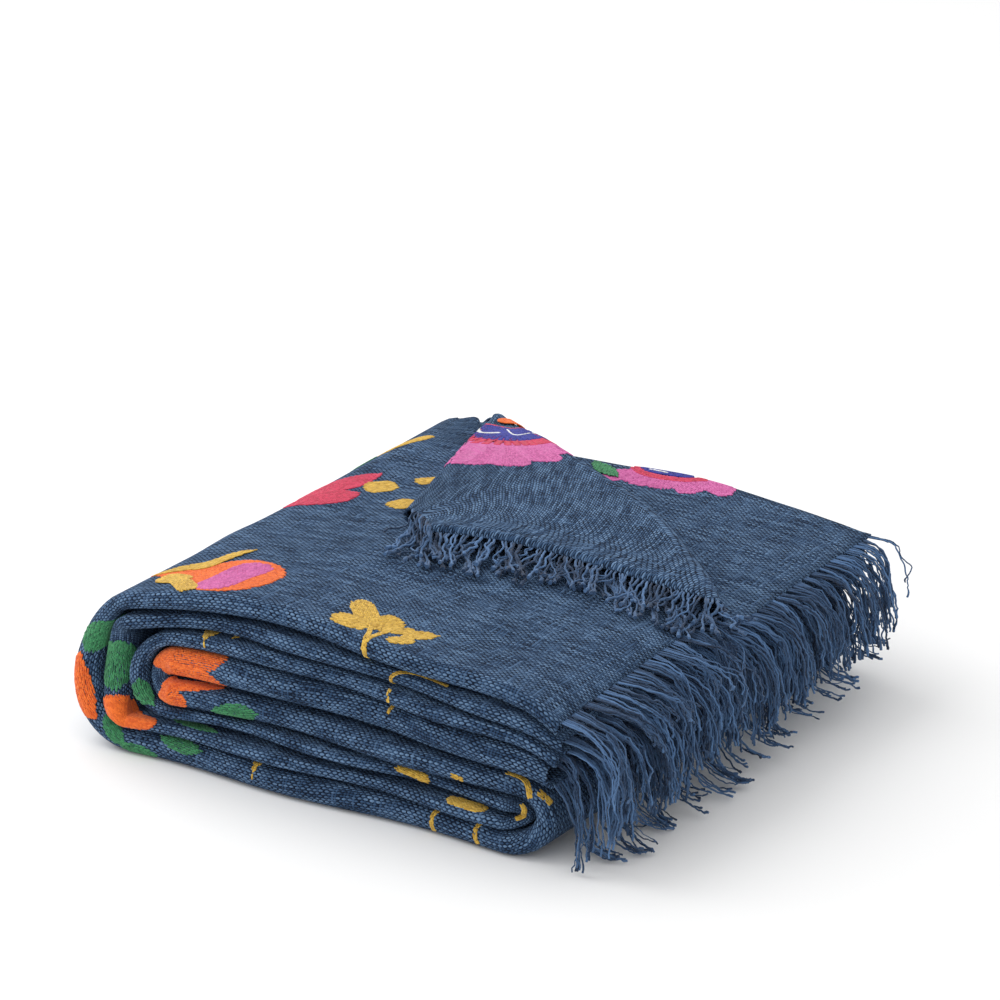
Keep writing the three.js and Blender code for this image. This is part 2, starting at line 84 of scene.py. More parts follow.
# The throw's length from one fringed end to the other
route = [
    {"pass": "first", "from": "end", "to": "outer", "steps": 46},
    {"turn": "outer", "above": "first", "below": "fourth", "steps": 26},
    {"pass": "fourth", "from": "outer", "to": "right", "steps": 36},
    {"turn": "right", "above": "fourth", "below": "third", "steps": 18},
    {"pass": "third", "from": "right", "to": "inner", "steps": 34},
    {"turn": "inner", "above": "third", "below": "second", "steps": 14},
    {"pass": "second", "from": "inner", "to": "end", "steps": 40},
]
loopWander = {
    "tuckToA": {"reach": 3, "waves": 9, "start": 0.4},
    "bToC": {"reach": 3.5, "waves": 11, "start": 2.1},
    "aToB": {"reach": 4, "waves": 8, "start": 1.2},
    "plainEdge": {"reach": 5, "waves": 7, "start": 3.3},
}
# The turned corner
flap = {
    "foldOnEndY": -20, "foldOnBackX": -118, "foldBow": 30, "corner": (-30.0, -48.0, 0.0),
    "innerRadius": 2.2, "pitch": 10, "lift": 5, "edgeDrop": 4, "dropWithin": 9, "edgeInset": 7,
    "edgeBow": 22, "bowToward": 1.5, "upperRadius": 6.5,
    "edgeBands": (0, 1.5, 3.5, 6, 9, 13, 18, 24),
    "edgeSettled": 0.125, "pitchSettled": 0.33, "endShare": 0.9,
    "bendSteps": 10, "lyingSteps": 34, "cornerYarns": 34,
}
foldDepth = (flap["foldOnEndY"] - front) / depthOfStack
foldRun = math.hypot(right - flap["foldOnBackX"], back - flap["foldOnEndY"])
bandShares = [band / foldRun for band in flap["edgeBands"]]
turnedShares = bandShares + list(np.linspace(bandShares[-1], 1, throw["turnedColumns"])[1:])
turnedDepths = [foldDepth + share * (1 - foldDepth) for share in turnedShares]
wideDepths = list(np.linspace(0, foldDepth, throw["frontColumns"])[:-1]) + turnedDepths
plainDepths = list(np.linspace(0, 1, throw["plainColumns"]))


def lerp(start, end, share):
    return start + (end - start) * share


def smooth(value, low, high):
    share = min(1.0, max(0.0, (value - low) / (high - low)))
    return share * share * (3 - 2 * share)


def arch(share):
    return math.sin(math.pi * share)


def heightAlong(x, column):
    places, values = stackHeights["x"], stackHeights[column]
    last = len(places) - 1
    held = min(places[last], max(places[0], x))
    i = min(last - 1, max(k for k in range(last + 1) if places[k] <= held))

    def slope(k):
        low, high = max(0, k - 1), min(last, k + 1)
        return (values[high] - values[low]) / (places[high] - places[low])

    span = places[i + 1] - places[i]
    s = (held - places[i]) / span
    bend = slope(i) * s * (1 - s) ** 2 - slope(i + 1) * s * s * (1 - s)
    return lerp(values[i], values[i + 1], s * s * (3 - 2 * s)) + bend * span


def stackHeight(x, y):
    share = min(1.0, max(0.0, (y - front) / depthOfStack))
    atFront, atBack = heightAlong(x, "front"), heightAlong(x, "back")
    crown = heightAlong(x, "middle") - (atFront + atBack) / 2
    return lerp(atFront, atBack, share) + crown * arch(share)


def wander(kind, pathShare):
    loop = loopWander[kind]
    return loop["reach"] * math.sin(2 * math.pi * loop["waves"] * pathShare + loop["start"])


def endAt(passName, layer, depth):
    if passName != "first" or layer not in "ab" or depth <= foldDepth:
        return ends[passName][layer]
    along = (depth - foldDepth) / (1 - foldDepth)
    return lerp(right, flap["foldOnBackX"], along) + flap["foldBow"] * arch(along)


def shareAt(step, layer, depth):
    section, along = step["section"], step["along"]
    if "pass" in section:
        return lerp(*layerShares[section["pass"]][layer], depth)
    start = lerp(*layerShares[section["above"]][layer], depth)
    end = lerp(*layerShares[section["below"]][layer], depth)
    return (start + end) / 2 + (start - end) / 2 * math.cos(math.pi * along)


def layerPoint(step, layer, depth, y):
    section, along = step["section"], step["along"]
    if "pass" in section:
        def place(name):
            return endAt(section["pass"], layer, depth) if name == "end" else turns[name]["centre"]
        x = lerp(place(section["from"]), place(section["to"]), along)
    else:
        turn = turns[section["turn"]]
        x = turn["centre"] + (turn[layer] - turn["centre"]) * arch(along) ** throw["turnFullness"]
    lift = throw["solidThickness"] / 2  # the middle of the lowest layer above the floor
    return Vector((x, y, lift + shareAt(step, layer, depth) * (stackHeight(x, y) - 2 * lift)))


def loopPoints(first, last, outward):
    centre, half = (first + last) / 2, (first - last) / 2
    angles = [math.pi * k / throw["loopSteps"] for k in range(1, throw["loopSteps"])]
    return [centre + half * math.cos(a) + outward * half.length * math.sin(a) for a in angles]


def crossSection(step):
    setback = throw["cornerSetback"] * arch(step["along"]) if "turn" in step["section"] else 0
    frontHere = front + setback - throw["lowerSpread"] * (1 - shareAt(step, "a", 0))
    frontA = frontHere + wander("tuckToA", step["pathShare"])
    frontC = frontHere + wander("bToC", step["pathShare"])
    backA = back - setback + wander("aToB", step["pathShare"])
    backC = back - setback + wander("plainEdge", step["pathShare"])

    def halfGap(one, two, depth, y):
        return (layerPoint(step, one, depth, y) - layerPoint(step, two, depth, y)).length / 2

    loopTuck = halfGap("tuck", "a", 0, frontA)
    loopBack = halfGap("a", "b", 1, backA)
    loopFront = halfGap("b", "c", 0, frontC)

    def run(layer, depths, start, end):
        return [layerPoint(step, layer, depth, lerp(start, end, depth)) for depth in depths]

    layerA = run("a", wideDepths, frontA + loopTuck, backA - loopBack)
    layerB = run("b", wideDepths, frontC + loopFront, backA - loopBack)[::-1]
    layerC = run("c", plainDepths, frontC + loopFront, backC)
    tuckLine = np.linspace(frontA + throw["tuck"], frontA + loopTuck, throw["tuckSteps"])
    tuck = [layerPoint(step, "tuck", 0, y) for y in tuckLine]
    towardFront, towardBack = Vector((0, -1, 0)), Vector((0, 1, 0))
    return (tuck + loopPoints(tuck[-1], layerA[0], towardFront) + layerA
            + loopPoints(layerA[-1], layerB[0], towardBack) + layerB
            + loopPoints(layerB[-1], layerC[0], towardFront) + layerC)


loopInner = throw["loopSteps"] - 1
startA = throw["tuckSteps"] + loopInner
endA = startA + len(wideDepths) - 1
startB = endA + loopInner + 1
endB = startB + len(wideDepths) - 1
startC = endB + loopInner + 1
endC = startC + len(plainDepths) - 1
foldStart = endA - len(turnedDepths) + 1
foldEnd = startB + len(turnedDepths) - 1


def routeSteps():
    total = sum(section["steps"] for section in route)
    steps = []
    for section in route:
        for k in range(1 if steps else 0, section["steps"] + 1):
            steps.append({"section": section, "along": k / section["steps"], "pathShare": len(steps) / total})
    return steps


alongFold = Vector((flap["foldOnBackX"] - right, back - flap["foldOnEndY"], 0)).normalized()
awayFromFlap = Vector((alongFold.y, -alongFold.x, 0))
turnedYarn = alongFold * (2 * alongFold.x) - Vector((1, 0, 0))


def flapRows(foldEdge):
    count = len(turnedDepths)
    lowerFold, upperFold = foldEdge[:count], foldEdge[-count:][::-1]
    corner = Vector(flap["corner"])
    rise = 2 * flap["innerRadius"] - throw["solidThickness"] / 2

    def bentPoint(fold, index, angle):
        axis = lowerFold[index].z + flap["innerRadius"]
        radius = axis - fold[index].z
        point = fold[index] + awayFromFlap * (radius * math.sin(angle))
        point.z = axis - radius * math.cos(angle)
        return point

    def lyingPoint(fold, index, lying, isUpper):
        eased = smooth(lying, 0, flap["edgeSettled"])
        point = fold[index].lerp(corner, lying)
        if index < len(flap["edgeBands"]):
            band = flap["edgeBands"][index]
            wanted = (band + (0 if isUpper else flap["edgeInset"] * eased)) * math.sqrt(1 - lying)
            point += alongFold * (wanted - band * (1 - lying))
        bow = flap["edgeBow"] * arch((lying / flap["endShare"]) ** flap["bowToward"])
        point += alongFold * (bow * (1 - turnedShares[index]))
        point.z = stackHeight(point.x, point.y) + rise + flap["lift"] * lying ** 2
        if isUpper:
            ownPitch = lowerFold[index].z - upperFold[index].z
            point.z += lerp(ownPitch, flap["pitch"], smooth(lying, 0, flap["pitchSettled"]))
            if index < len(flap["edgeBands"]):
                fromEdge = min(1, flap["edgeBands"][index] / flap["dropWithin"])
                point.z -= flap["edgeDrop"] * eased * (1 - fromEdge) ** 2
        return point

    def rowOf(angle, place):
        lower = [place(lowerFold, index, False) for index in range(count)]
        upper = [place(upperFold, index, True) for index in range(count)][::-1]
        way = alongFold * alongFold.y + awayFromFlap * (awayFromFlap.y * math.cos(angle))
        way = (way + Vector((0, 0, awayFromFlap.y * math.sin(angle)))).normalized()
        return lower + loopPoints(lower[-1], upper[0], way) + upper

    rows = []
    for k in range(1, flap["bendSteps"] + 1):
        angle = math.pi * k / flap["bendSteps"]
        rows.append(rowOf(angle, lambda fold, index, isUpper: bentPoint(fold, index, angle)))
    for k in range(1, flap["lyingSteps"] + 1):
        lying = flap["endShare"] * k / flap["lyingSteps"]
        rows.append(rowOf(math.pi, lambda fold, index, isUpper: lyingPoint(fold, index, lying, isUpper)))
    return rows


def pathLength(points):
    return np.concatenate([[0], np.cumsum([(b - a).length for a, b in zip(points, points[1:])])])


weaveEase = 75  # mm of cloth on each side of a loop that takes up the difference in path


# the weave keeps its own pitch round every loop, and stays straight in the middle of each layer
def yarnsAcross(section, across, isPass):
    own = pathLength([Vector((0, point.y, point.z)) for point in section] if isPass else section)
    middles = [(startA + endA) // 2, (startB + endB) // 2, (startC + endC) // 2]
    loops = [(own[endA] + own[startB]) / 2, (own[endB] + own[startC]) / 2]
    yarns = own + (across[middles[0]] - own[middles[0]])
    for loop, one, two in zip(loops, middles, middles[1:]):
        missing = (across[two] - across[one]) - (own[two] - own[one])
        share = np.clip((own - loop) / (2 * weaveEase) + 0.5, 0, 1)
        yarns = yarns + missing * share * share * (3 - 2 * share)
    return yarns


def buildCloth():
    steps = routeSteps()
    sections = [crossSection(step) for step in steps]
    columns = len(sections[0])
    outerEdge = [section[startA + throw["measuredFromEdge"]] for section in sections]
    innerEdge = [section[endC - throw["measuredFromEdge"]] for section in sections]
    # along the length: by x in the first pass, and by the outermost layer from there on
    along, at = [], 0.0
    for k, step in enumerate(steps):
        if k:
            line = innerEdge if step["section"].get("turn") == "inner" else outerEdge
            at += (line[k] - line[k - 1]).length
        along.append(at)
    passEnd = route[0]["steps"]
    shift = along[passEnd] - (right - turns["outer"]["centre"])
    across = pathLength(sections[passEnd // 2])
    # where each point lies on the flat cloth: for the stitches by one section, for the weave by its own
    flat = {"flatCloth": [], "drawnCloth": []}
    for k, section in enumerate(sections):
        us = [right - point.x if k <= passEnd else along[k] - shift for point in section]
        flat["flatCloth"] += zip(us, across)
        flat["drawnCloth"] += zip(us, yarnsAcross(section, across, k <= passEnd))
    points = [point for section in sections for point in section]
    faces = []
    for row in range(len(sections) - 1):
        for column in range(columns - 1):
            one = row * columns + column
            faces.append((one, one + 1, one + columns + 1, one + columns))
    foldEdge = sections[0][foldStart:foldEnd + 1]
    foldPlaces = {name: places[foldStart:foldEnd + 1] for name, places in flat.items()}
    rows = flapRows(foldEdge)
    previous = list(range(foldStart, foldEnd + 1))
    count = len(turnedDepths)
    for k, row in enumerate(rows):
        first = len(points)
        points += row
        bent = min(k + 1, flap["bendSteps"]) / flap["bendSteps"]
        for index, point in enumerate(row):
            isLower = index < count
            away = awayFromFlap * (math.pi * flap["innerRadius" if isLower else "upperRadius"] * bent)
            fromEnd = index if isLower else len(row) - 1 - index
            away.y *= 1 - turnedShares[min(fromEnd, count - 1)]
            if k >= flap["bendSteps"]:
                moved = Vector((point.x - foldEdge[index].x, point.y - foldEdge[index].y, 0))
                away += alongFold * moved.dot(alongFold) - awayFromFlap * moved.dot(awayFromFlap)
            way = 1 if isLower or index < count + loopInner // 2 else -1
            for name, fold in foldPlaces.items():
                flat[name].append((fold[index][0] - away.x, fold[index][1] + way * away.y))
        current = list(range(first, first + len(row)))
        for c in range(len(row) - 1):
            faces.append((previous[c + 1], previous[c], current[c], current[c + 1]))
        previous = current
    return {"points": points, "faces": faces, "flat": flat, "sections": sections}


# Main creases, listed: each pushes the cloth near a line. Start, end, width and push
creases = [
    ((-60, -120, 128), (150, -60, 120), 26, (0, 0, -2.5)),
    ((-185, -40, 108), (-70, -165, 124), 20, (0, 0, 2.2)),
    ((-150, -110, 118), (-95, -190, 122), 12, (0, 0, -2.0)),
    ((-140, 60, 126), (-50, -70, 128), 18, (0, 0, -2.6)),
    ((40, -185, 122), (185, -120, 106), 15, (0, 0, -2.4)),
    ((70, 10, 126), (190, 60, 112), 20, (0, 0, -2.6)),
    ((110, 90, 124), (195, 150, 114), 16, (0, 0, 1.8)),
    ((-120, -212, 84), (30, -214, 100), 9, (0, 3.2, 0)),
    ((-20, -208, 50), (150, -208, 62), 10, (0, -2.8, 0)),
    ((60, -206, 24), (185, -200, 30), 9, (0, 2.6, 0)),
    ((-190, -150, 70), (-197, 60, 62), 14, (2.6, 0, 0)),
    ((-120, 200, 90), (120, 204, 60), 14, (0, -3.0, 0)),
    ((-127, 204, 122), (-118, 206, 122), 6.5, (0, 0, 6)),
]
creaseFade = {"left": 0.35, "tips": 0.02}  # how much of a crease is left at its two ends


def settle(points):
    moved = np.array([tuple(point) for point in points])
    for start, end, width, push in creases:
        start, way = np.array(start, float), np.subtract(end, start, dtype=float)
        share = np.clip((moved - start) @ way / (way @ way), 0, 1)
        gap = np.linalg.norm(moved - start - share[:, None] * way, axis=1)
        middle = np.sin(math.pi * np.clip(share, creaseFade["tips"], 1 - creaseFade["tips"]))
        fade = lerp(creaseFade["left"], 1, middle)
        fade *= np.exp(-(gap / width) ** 2)
        moved = moved + fade[:, None] * np.array(push)
    return moved


def unit(vectors):
    return vectors / np.maximum(np.linalg.norm(vectors, axis=1), 1e-9)[:, None]


def sheetMesh(cloth, thickness):
    points = settle(cloth["points"])
    faces = np.array(cloth["faces"])
    first, second, third, fourth = (points[faces[:, corner]] for corner in range(4))
    faceNormals = unit(np.cross(third - first, fourth - second))
    normals = np.zeros_like(points)
    for corner in range(4):
        np.add.at(normals, faces[:, corner], faceNormals)
    normals = unit(normals)
    sides = np.vstack([points + normals * thickness / 2, points - normals * thickness / 2])
    sides[:, 2] = np.maximum(sides[:, 2], throw["aboveFloor"])
    total = len(points)
    edges = dict.fromkeys((a, b) for face in cloth["faces"] for a, b in zip(face, face[1:] + face[:1]))
    rim = [(b, a, total + a, total + b) for (a, b) in edges if (b, a) not in edges]
    allFaces = []
    for a, b, c, d in cloth["faces"]:
        for three in ((a, b, c), (a, c, d)):
            allFaces += [three, tuple(total + corner for corner in reversed(three))]
    mesh = bpy.data.meshes.new("throwCloth")
    mesh.from_pydata((sides * mm + stackShift).tolist(), [], allFaces + rim)
    corners = np.zeros(len(mesh.loops), np.int32)
    mesh.loops.foreach_get("vertex_index", corners)
    for name, places in cloth["flat"].items():
        places = np.array(places * 2) * mm
        mesh.uv_layers.new(name=name).data.foreach_set("uv", places[corners].astype(np.float32).ravel())
    mesh.polygons.foreach_set("use_smooth", [True] * len(mesh.polygons))
    mesh.update()
    return mesh, points, normals


def toScene(name, data):
    thing = bpy.data.objects.new(name, data)
    bpy.context.scene.collection.objects.link(thing)
    return thing


def newObject(name, mesh, material):
    piece = toScene(name, mesh)
    if not piece.data.materials:
        piece.data.materials.append(material)
    return piece


# A new group with its named sockets
def nodeTree(name, kind, inputs, outputs):
    tree = bpy.data.node_groups.new(name, kind)
    for way, sockets in (("INPUT", inputs), ("OUTPUT", outputs)):
        for label, socket in sockets.items():
            tree.interface.new_socket(label, in_out=way, socket_type="NodeSocket" + socket)
    return tree, tree.nodes.new("NodeGroupInput").outputs, tree.nodes.new("NodeGroupOutput").inputs


# A node with its settings, and its inputs given as values or as other nodes' outputs
def addNode(tree, kind, inputs=None, **settings):
    node = tree.nodes.new(kind)
    for name, value in settings.items():
        setattr(node, name, value)
    for key, value in (inputs or {}).items():
        if isinstance(value, bpy.types.NodeSocket):
            tree.links.new(value, node.inputs[key])
        else:
            node.inputs[key].default_value = value
    return node


def mathNode(tree, operation, *values):
    return addNode(tree, "ShaderNodeMath", dict(enumerate(values)), operation=operation).outputs[0]


def noiseNode(tree, place, scale, detail=2, output="Fac"):
    inputs = {"Vector": place, "Scale": scale, "Detail": detail}
    return addNode(tree, "ShaderNodeTexNoise", inputs).outputs[output]


def ramp(tree, value, stops):
    node = addNode(tree, "ShaderNodeValToRGB", {0: value})
    elements = node.color_ramp.elements
    while len(elements) < len(stops):
        elements.new(0.5)
    for element, (at, colour) in zip(elements, stops):
        element.position = at
        element.color = (*colour, 1)
    return node.outputs[0]


def newMaterial(name, surface):
    material = bpy.data.materials.new(name)
    material.use_nodes = True
    shader = material.node_tree.nodes["Principled BSDF"]
    for label, value in surface.items():
        shader.inputs[label].default_value = value
    return material, material.node_tree, shader


def addBump(tree, shader, height, distance, strength):
    bump = addNode(tree, "ShaderNodeBump", {"Height": height, "Distance": distance, "Strength": strength})
    tree.links.new(bump.outputs[0], shader.inputs["Normal"])


# The weave, in yarns: their stray, roundness, way over and under, thick places and tints, and the painted
# shade in the gaps between them
weave = {
    "strayScale": 90, "stray": 1.1, "lengthwisePitch": 1.35, "roundness": 4.6, "overUnder": 0.5,
    "warpRaised": 0.14, "slubApart": 7.31, "slubLength": 0.09, "slubHeight": 1.6, "weftSlubs": 5,
    "tintSpread": 1.6, "warpTint": -0.14, "weftTint": -0.52, "gapShadeDepth": 1.1,
}


def plainWeaveGroup():
    group, given, out = nodeTree("plain weave", "ShaderNodeTree",
                                 {"Place": "Vector", "Yarn Pitch": "Float", "Slubs": "Float"},
                                 {"Height": "Float", "Tint": "Float", "Gap": "Float"})

    def do(operation, *values):
        return mathNode(group, operation, *values)

    split = addNode(group, "ShaderNodeSeparateXYZ", {0: given["Place"]}).outputs
    stray = do("SUBTRACT", noiseNode(group, given["Place"], weave["strayScale"], 1), 0.5)
    stray = do("MULTIPLY", stray, weave["stray"])
    # yarns along the length show as longer dashes
    longPitch = do("MULTIPLY", given["Yarn Pitch"], weave["lengthwisePitch"])
    along = do("ADD", do("DIVIDE", split[0], longPitch), stray)
    across = do("ADD", do("DIVIDE", split[1], given["Yarn Pitch"]), stray)

    def yarn(sideways, lengthways, over, slubs):
        # round across the yarn, and over and under along it
        index = do("FLOOR", sideways)
        side = do("SUBTRACT", do("FRACT", sideways), 0.5)
        roundness = do("SUBTRACT", 1, do("MULTIPLY", do("MULTIPLY", side, side), weave["roundness"]))
        phase = do("ADD", do("SUBTRACT", lengthways, 0.5), index)
        wave = do("COSINE", do("MULTIPLY", phase, math.pi))
        bent = do("MULTIPLY_ADD", wave, weave["overUnder"] * over, roundness)
        slubPlace = addNode(group, "ShaderNodeCombineXYZ", {
            0: do("MULTIPLY", index, weave["slubApart"]), 1: do("MULTIPLY", lengthways, weave["slubLength"]),
            2: slubs})
        slub = noiseNode(group, slubPlace.outputs[0], 1)
        thick = do("MULTIPLY", do("SUBTRACT", slub, 0.5), given["Slubs"])
        return do("ADD", bent, do("MULTIPLY", thick, weave["slubHeight"])), slub

    warp, warpSlub = yarn(across, along, -1, 0)
    weft, weftSlub = yarn(along, across, 1, weave["weftSlubs"])
    warp = do("ADD", warp, weave["warpRaised"])
    height = do("MAXIMUM", warp, weft)
    tint = addNode(group, "ShaderNodeMix", {
        0: do("GREATER_THAN", warp, weft),
        2: do("MULTIPLY_ADD", weftSlub, weave["tintSpread"], weave["weftTint"]),
        3: do("MULTIPLY_ADD", warpSlub, weave["tintSpread"], weave["warpTint"])})
    # painted shade: the colour is darkened where the weave lies low, in the gaps between the yarns
    gap = do("MAXIMUM", do("MULTIPLY", do("SUBTRACT", 1, height), weave["gapShadeDepth"]), 0)
    for label, value in (("Height", height), ("Tint", tint.outputs[0]), ("Gap", gap)):
        group.links.new(value, out[label])
    return group


cottonLook = {
    "deep": (0.0040, 0.011, 0.028), "mid": (0.037, 0.080, 0.165), "pale": (0.155, 0.262, 0.430),
    "stops": (0.1, 0.45, 0.88), "yarnPitch": 0.0017, "slubs": 0.8, "bump": 0.0012, "bumpStrength": 0.8,
    "patchScale": 14, "patches": 0.3,
    "surface": {"Roughness": 0.92, "Specular IOR Level": 0.1, "Sheen Weight": 0.05, "Sheen Roughness": 0.6,
                "Sheen Tint": (0.55, 0.66, 0.85, 1)},
}


def wovenCotton():
    look = cottonLook
    material, tree, shader = newMaterial("woven cotton", look["surface"])
    place = addNode(tree, "ShaderNodeUVMap", uv_map="drawnCloth").outputs[0]
    given = {"Place": place, "Yarn Pitch": look["yarnPitch"], "Slubs": look["slubs"]}
    yarns = addNode(tree, "ShaderNodeGroup", given, node_tree=plainWeaveGroup())
    patches = noiseNode(tree, place, look["patchScale"], 3)
    patches = mathNode(tree, "MULTIPLY_ADD", patches, look["patches"], -look["patches"] / 2)
    value = mathNode(tree, "ADD", yarns.outputs["Tint"], patches)
    # the painted gap shade darkens the cloth's colour between the yarns
    value = mathNode(tree, "SUBTRACT", value, yarns.outputs["Gap"])
    colour = ramp(tree, value, list(zip(look["stops"], (look["deep"], look["mid"], look["pale"]))))
    tree.links.new(colour, shader.inputs["Base Color"])
    addBump(tree, shader, yarns.outputs["Height"], look["bump"], look["bumpStrength"])
    return material


yarnLook = {
    "strandScale": 900, "strands": 0.35, "broadScale": 45, "broad": 0.25, "tone": 0.4, "stops": (0.25, 0.75),
    "bump": 0.0004, "bumpStrength": 0.6,
    "surface": {"Roughness": 0.8, "Specular IOR Level": 0.25, "Sheen Weight": 0.15},
}


def yarnMaterial(name, dark, light):
    look = yarnLook
    material, tree, shader = newMaterial(name, look["surface"])
    place = addNode(tree, "ShaderNodeTexCoord").outputs["Object"]
    tone = addNode(tree, "ShaderNodeAttribute", attribute_name="tone").outputs["Fac"]
    strands = noiseNode(tree, place, look["strandScale"])
    broad = mathNode(tree, "MULTIPLY", noiseNode(tree, place, look["broadScale"]), look["broad"])
    value = mathNode(tree, "MULTIPLY_ADD", strands, look["strands"], broad)
    value = mathNode(tree, "MULTIPLY_ADD", tone, look["tone"], value)
    tree.links.new(ramp(tree, value, list(zip(look["stops"], (dark, light)))), shader.inputs["Base Color"])
    addBump(tree, shader, strands, look["bump"], look["bumpStrength"])
    return material


cotton = wovenCotton()
fringeCotton = yarnMaterial("fringe yarn", (0.006, 0.016, 0.042), (0.094, 0.190, 0.370))


# The cloth in its folds
cloth = buildCloth()
cadCloth = [np.array(corner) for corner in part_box("throw_cloth")]
laidOut = np.array([tuple(point) for point in cloth["points"]])
stackShift = (cadCloth[0] + cadCloth[1]) / 2 - (laidOut.min(0) + laidOut.max(0)) / 2 * mm
stackShift[2] = 0
clothMesh, settled, clothNormals = sheetMesh(cloth, throw["thickness"])
throwCloth = newObject("throwCloth", clothMesh, cotton)
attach(throwCloth, "root")
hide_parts("throw_cloth")
print("cloth folded,", len(clothMesh.polygons), "faces")


# Fringes: yarns in bunches, made along paths by geometry nodes
fringes = [
    {"node": "fringe_first_a", "edge": "firstA", "fall": "hanging", "reach": 45, "length": 56},
    {"node": "fringe_first_b", "edge": "firstB", "fall": "hanging", "reach": 41, "length": 68},
    {"node": "fringe_first_c", "edge": "firstC", "fall": "hanging", "reach": 34, "length": 66},
    {"node": "fringe_second_c", "edge": "secondC", "fall": "hanging", "reach": 30, "length": 72},
    {"node": "fringe_second_b", "edge": "secondB", "fall": "hanging", "reach": 26, "length": 60},
    {"node": "fringe_second_a", "edge": "secondA", "fall": "splayed", "reach": 40, "length": 90},
    {"node": "fringe_flap_upper", "edge": "flapB", "fall": "lying", "reach": 30, "bed": 4.6},
    {"node": "fringe_flap_lower", "edge": "flapA", "fall": "lying", "reach": 37, "bed": 1.6},
]
falls = {
    "hanging": ((0, 0), (0.35, 0.03), (0.66, 0.14), (0.86, 0.34), (0.96, 0.6), (1, 0.82), (1, 1)),
    "splayed": ((0, 0), (0.15, 0.2), (0.28, 0.48), (0.42, 0.75), (0.62, 0.92), (0.85, 1), (1, 1)),
    "lying": ((0, 0), (0.14, 0.03), (0.3, 0.16), (0.45, 0.4), (0.62, 0.7), (0.8, 0.93), (1, 1)),
}
backTips = {"rise": 34, "from": -110}  # the strands are shorter toward the back
# What all bunches share; a stray is a strand that leaves its bunch
strand = {
    "seed": 40, "perSpan": 5, "strays": 0.2, "strayBy": 2.2, "rootVaries": 0.35, "reachVaries": 0.05,
    "reachInLength": 0.55, "gatherVaries": (0.75, 1.15), "bedVaries": 1.6, "slantAtRoot": 0.4, "depthUp": 0.5,
    "aboveFloor": 3.4, "waves": (0.8, 2.6), "waveSize": 1.0, "waveGrown": 0.5, "waveOutward": 0.6,
    "looseFrom": 0.3, "weight": (0.85, 1.15), "strayWeight": (0.6, 0.8), "taper": 0.2,
    "knotAt": (0.88, 0.94), "leastWidth": 2, "mostLonger": 0.8, "corner": 12, "cornerLength": 1.2,
    "cornerSlant": -0.9, "last": 24, "lastTurned": 20, "lastReach": -0.6, "lastSlant": -0.2,
}
bunches = {
    "hanging": {"pitch": 1.9, "width": (4, 12), "gap": (0.4, 4.4), "gather": 0.72, "splay": 2.6, "depth": 5,
                "reachVaries": 0.26, "lengthVaries": 0.26, "slant": 15, "yarn": 1.6, "sides": 4, "frayed": 6,
                "crinkle": 0.0044, "knot": 0.45},
    "splayed": {"pitch": 2.1, "width": (5, 14), "gap": (0, 5), "gather": 0.62, "splay": 4, "depth": 5,
                "reachVaries": 0.24, "lengthVaries": 0.2, "slant": 16, "yarn": 1.6, "sides": 4, "frayed": 7,
                "crinkle": 0.0044, "knot": 0.45},
    "lying": {"pitch": 2.9, "width": (4, 11), "gap": (0, 2.4), "gather": 0.3, "splay": 9, "depth": 1.2,
              "reachVaries": 0.3, "lengthVaries": 0.1, "slant": 13, "yarn": 2.0, "sides": 6, "frayed": 2,
              "crinkle": 0.004, "knot": 0.7},
}


def fringeEdges():
    points = settled.tolist()
    columns = len(cloth["sections"][0])

    def row(index):
        return [Vector(point) for point in points[index * columns:(index + 1) * columns]]

    first, afterFirst = row(0), row(1)
    last, beforeLast = row(len(cloth["sections"]) - 1), row(len(cloth["sections"]) - 2)

    def endEdge(edgeRow, innerRow, start, end):
        return [(edgeRow[k], (edgeRow[k] - innerRow[k]).normalized()) for k in range(start, end + 1)]

    flapStart = len(cloth["sections"]) * columns
    rowCount = flap["bendSteps"] + flap["lyingSteps"]
    perRow = (len(points) - flapStart) // rowCount

    def flapEdge(isUpper):
        found = []
        for k in range(rowCount):
            # round the fold the yarns turn over with the cloth
            angle = math.pi * min(1, (k + 1) / flap["bendSteps"])
            turned = awayFromFlap * math.cos(angle) + Vector((0, 0, math.sin(angle)))
            index = flapStart + k * perRow + (perRow - 1 if isUpper else 0)
            found.append((Vector(points[index]), alongFold * alongFold.x + turned * awayFromFlap.x))
        lastRow = flapStart + (rowCount - 1) * perRow
        for step in range(1, flap["cornerYarns"] + 1):
            found.append((Vector(points[lastRow + (perRow - 1 - step if isUpper else step)]), turnedYarn))
        return found[::-1]

    return {
        "firstA": endEdge(first, afterFirst, startA, foldStart),
        "firstB": endEdge(first, afterFirst, foldEnd, endB)[::-1],
        "firstC": endEdge(first, afterFirst, startC, endC),
        "secondA": endEdge(last, beforeLast, startA, endA),
        "secondB": endEdge(last, beforeLast, startB, endB)[::-1],
        "secondC": endEdge(last, beforeLast, startC, endC),
        "flapA": flapEdge(False),
        "flapB": flapEdge(True),
    }


# Both geometry trees begin and end alike: instances made real, then the material
def geometryTree(name, inputs):
    inputs = {"Geometry": "Geometry", **inputs, "Material": "Material"}
    return nodeTree(name, "GeometryNodeTree", inputs, {"Geometry": "Geometry"})


def finishTree(tree, given, out, geometry):
    real = addNode(tree, "GeometryNodeRealizeInstances", {0: geometry})
    finish = {"Geometry": real.outputs[0], "Material": given["Material"]}
    tree.links.new(addNode(tree, "GeometryNodeSetMaterial", finish).outputs[0], out[0])


# A broad crinkle that neighbours share and a fine one of each yarn's own, both growing from the root
crinkles = {"broadScale": 90, "fineScale": 260, "fine": 0.75, "ownPlace": (0.7, 0.9, 0.5)}


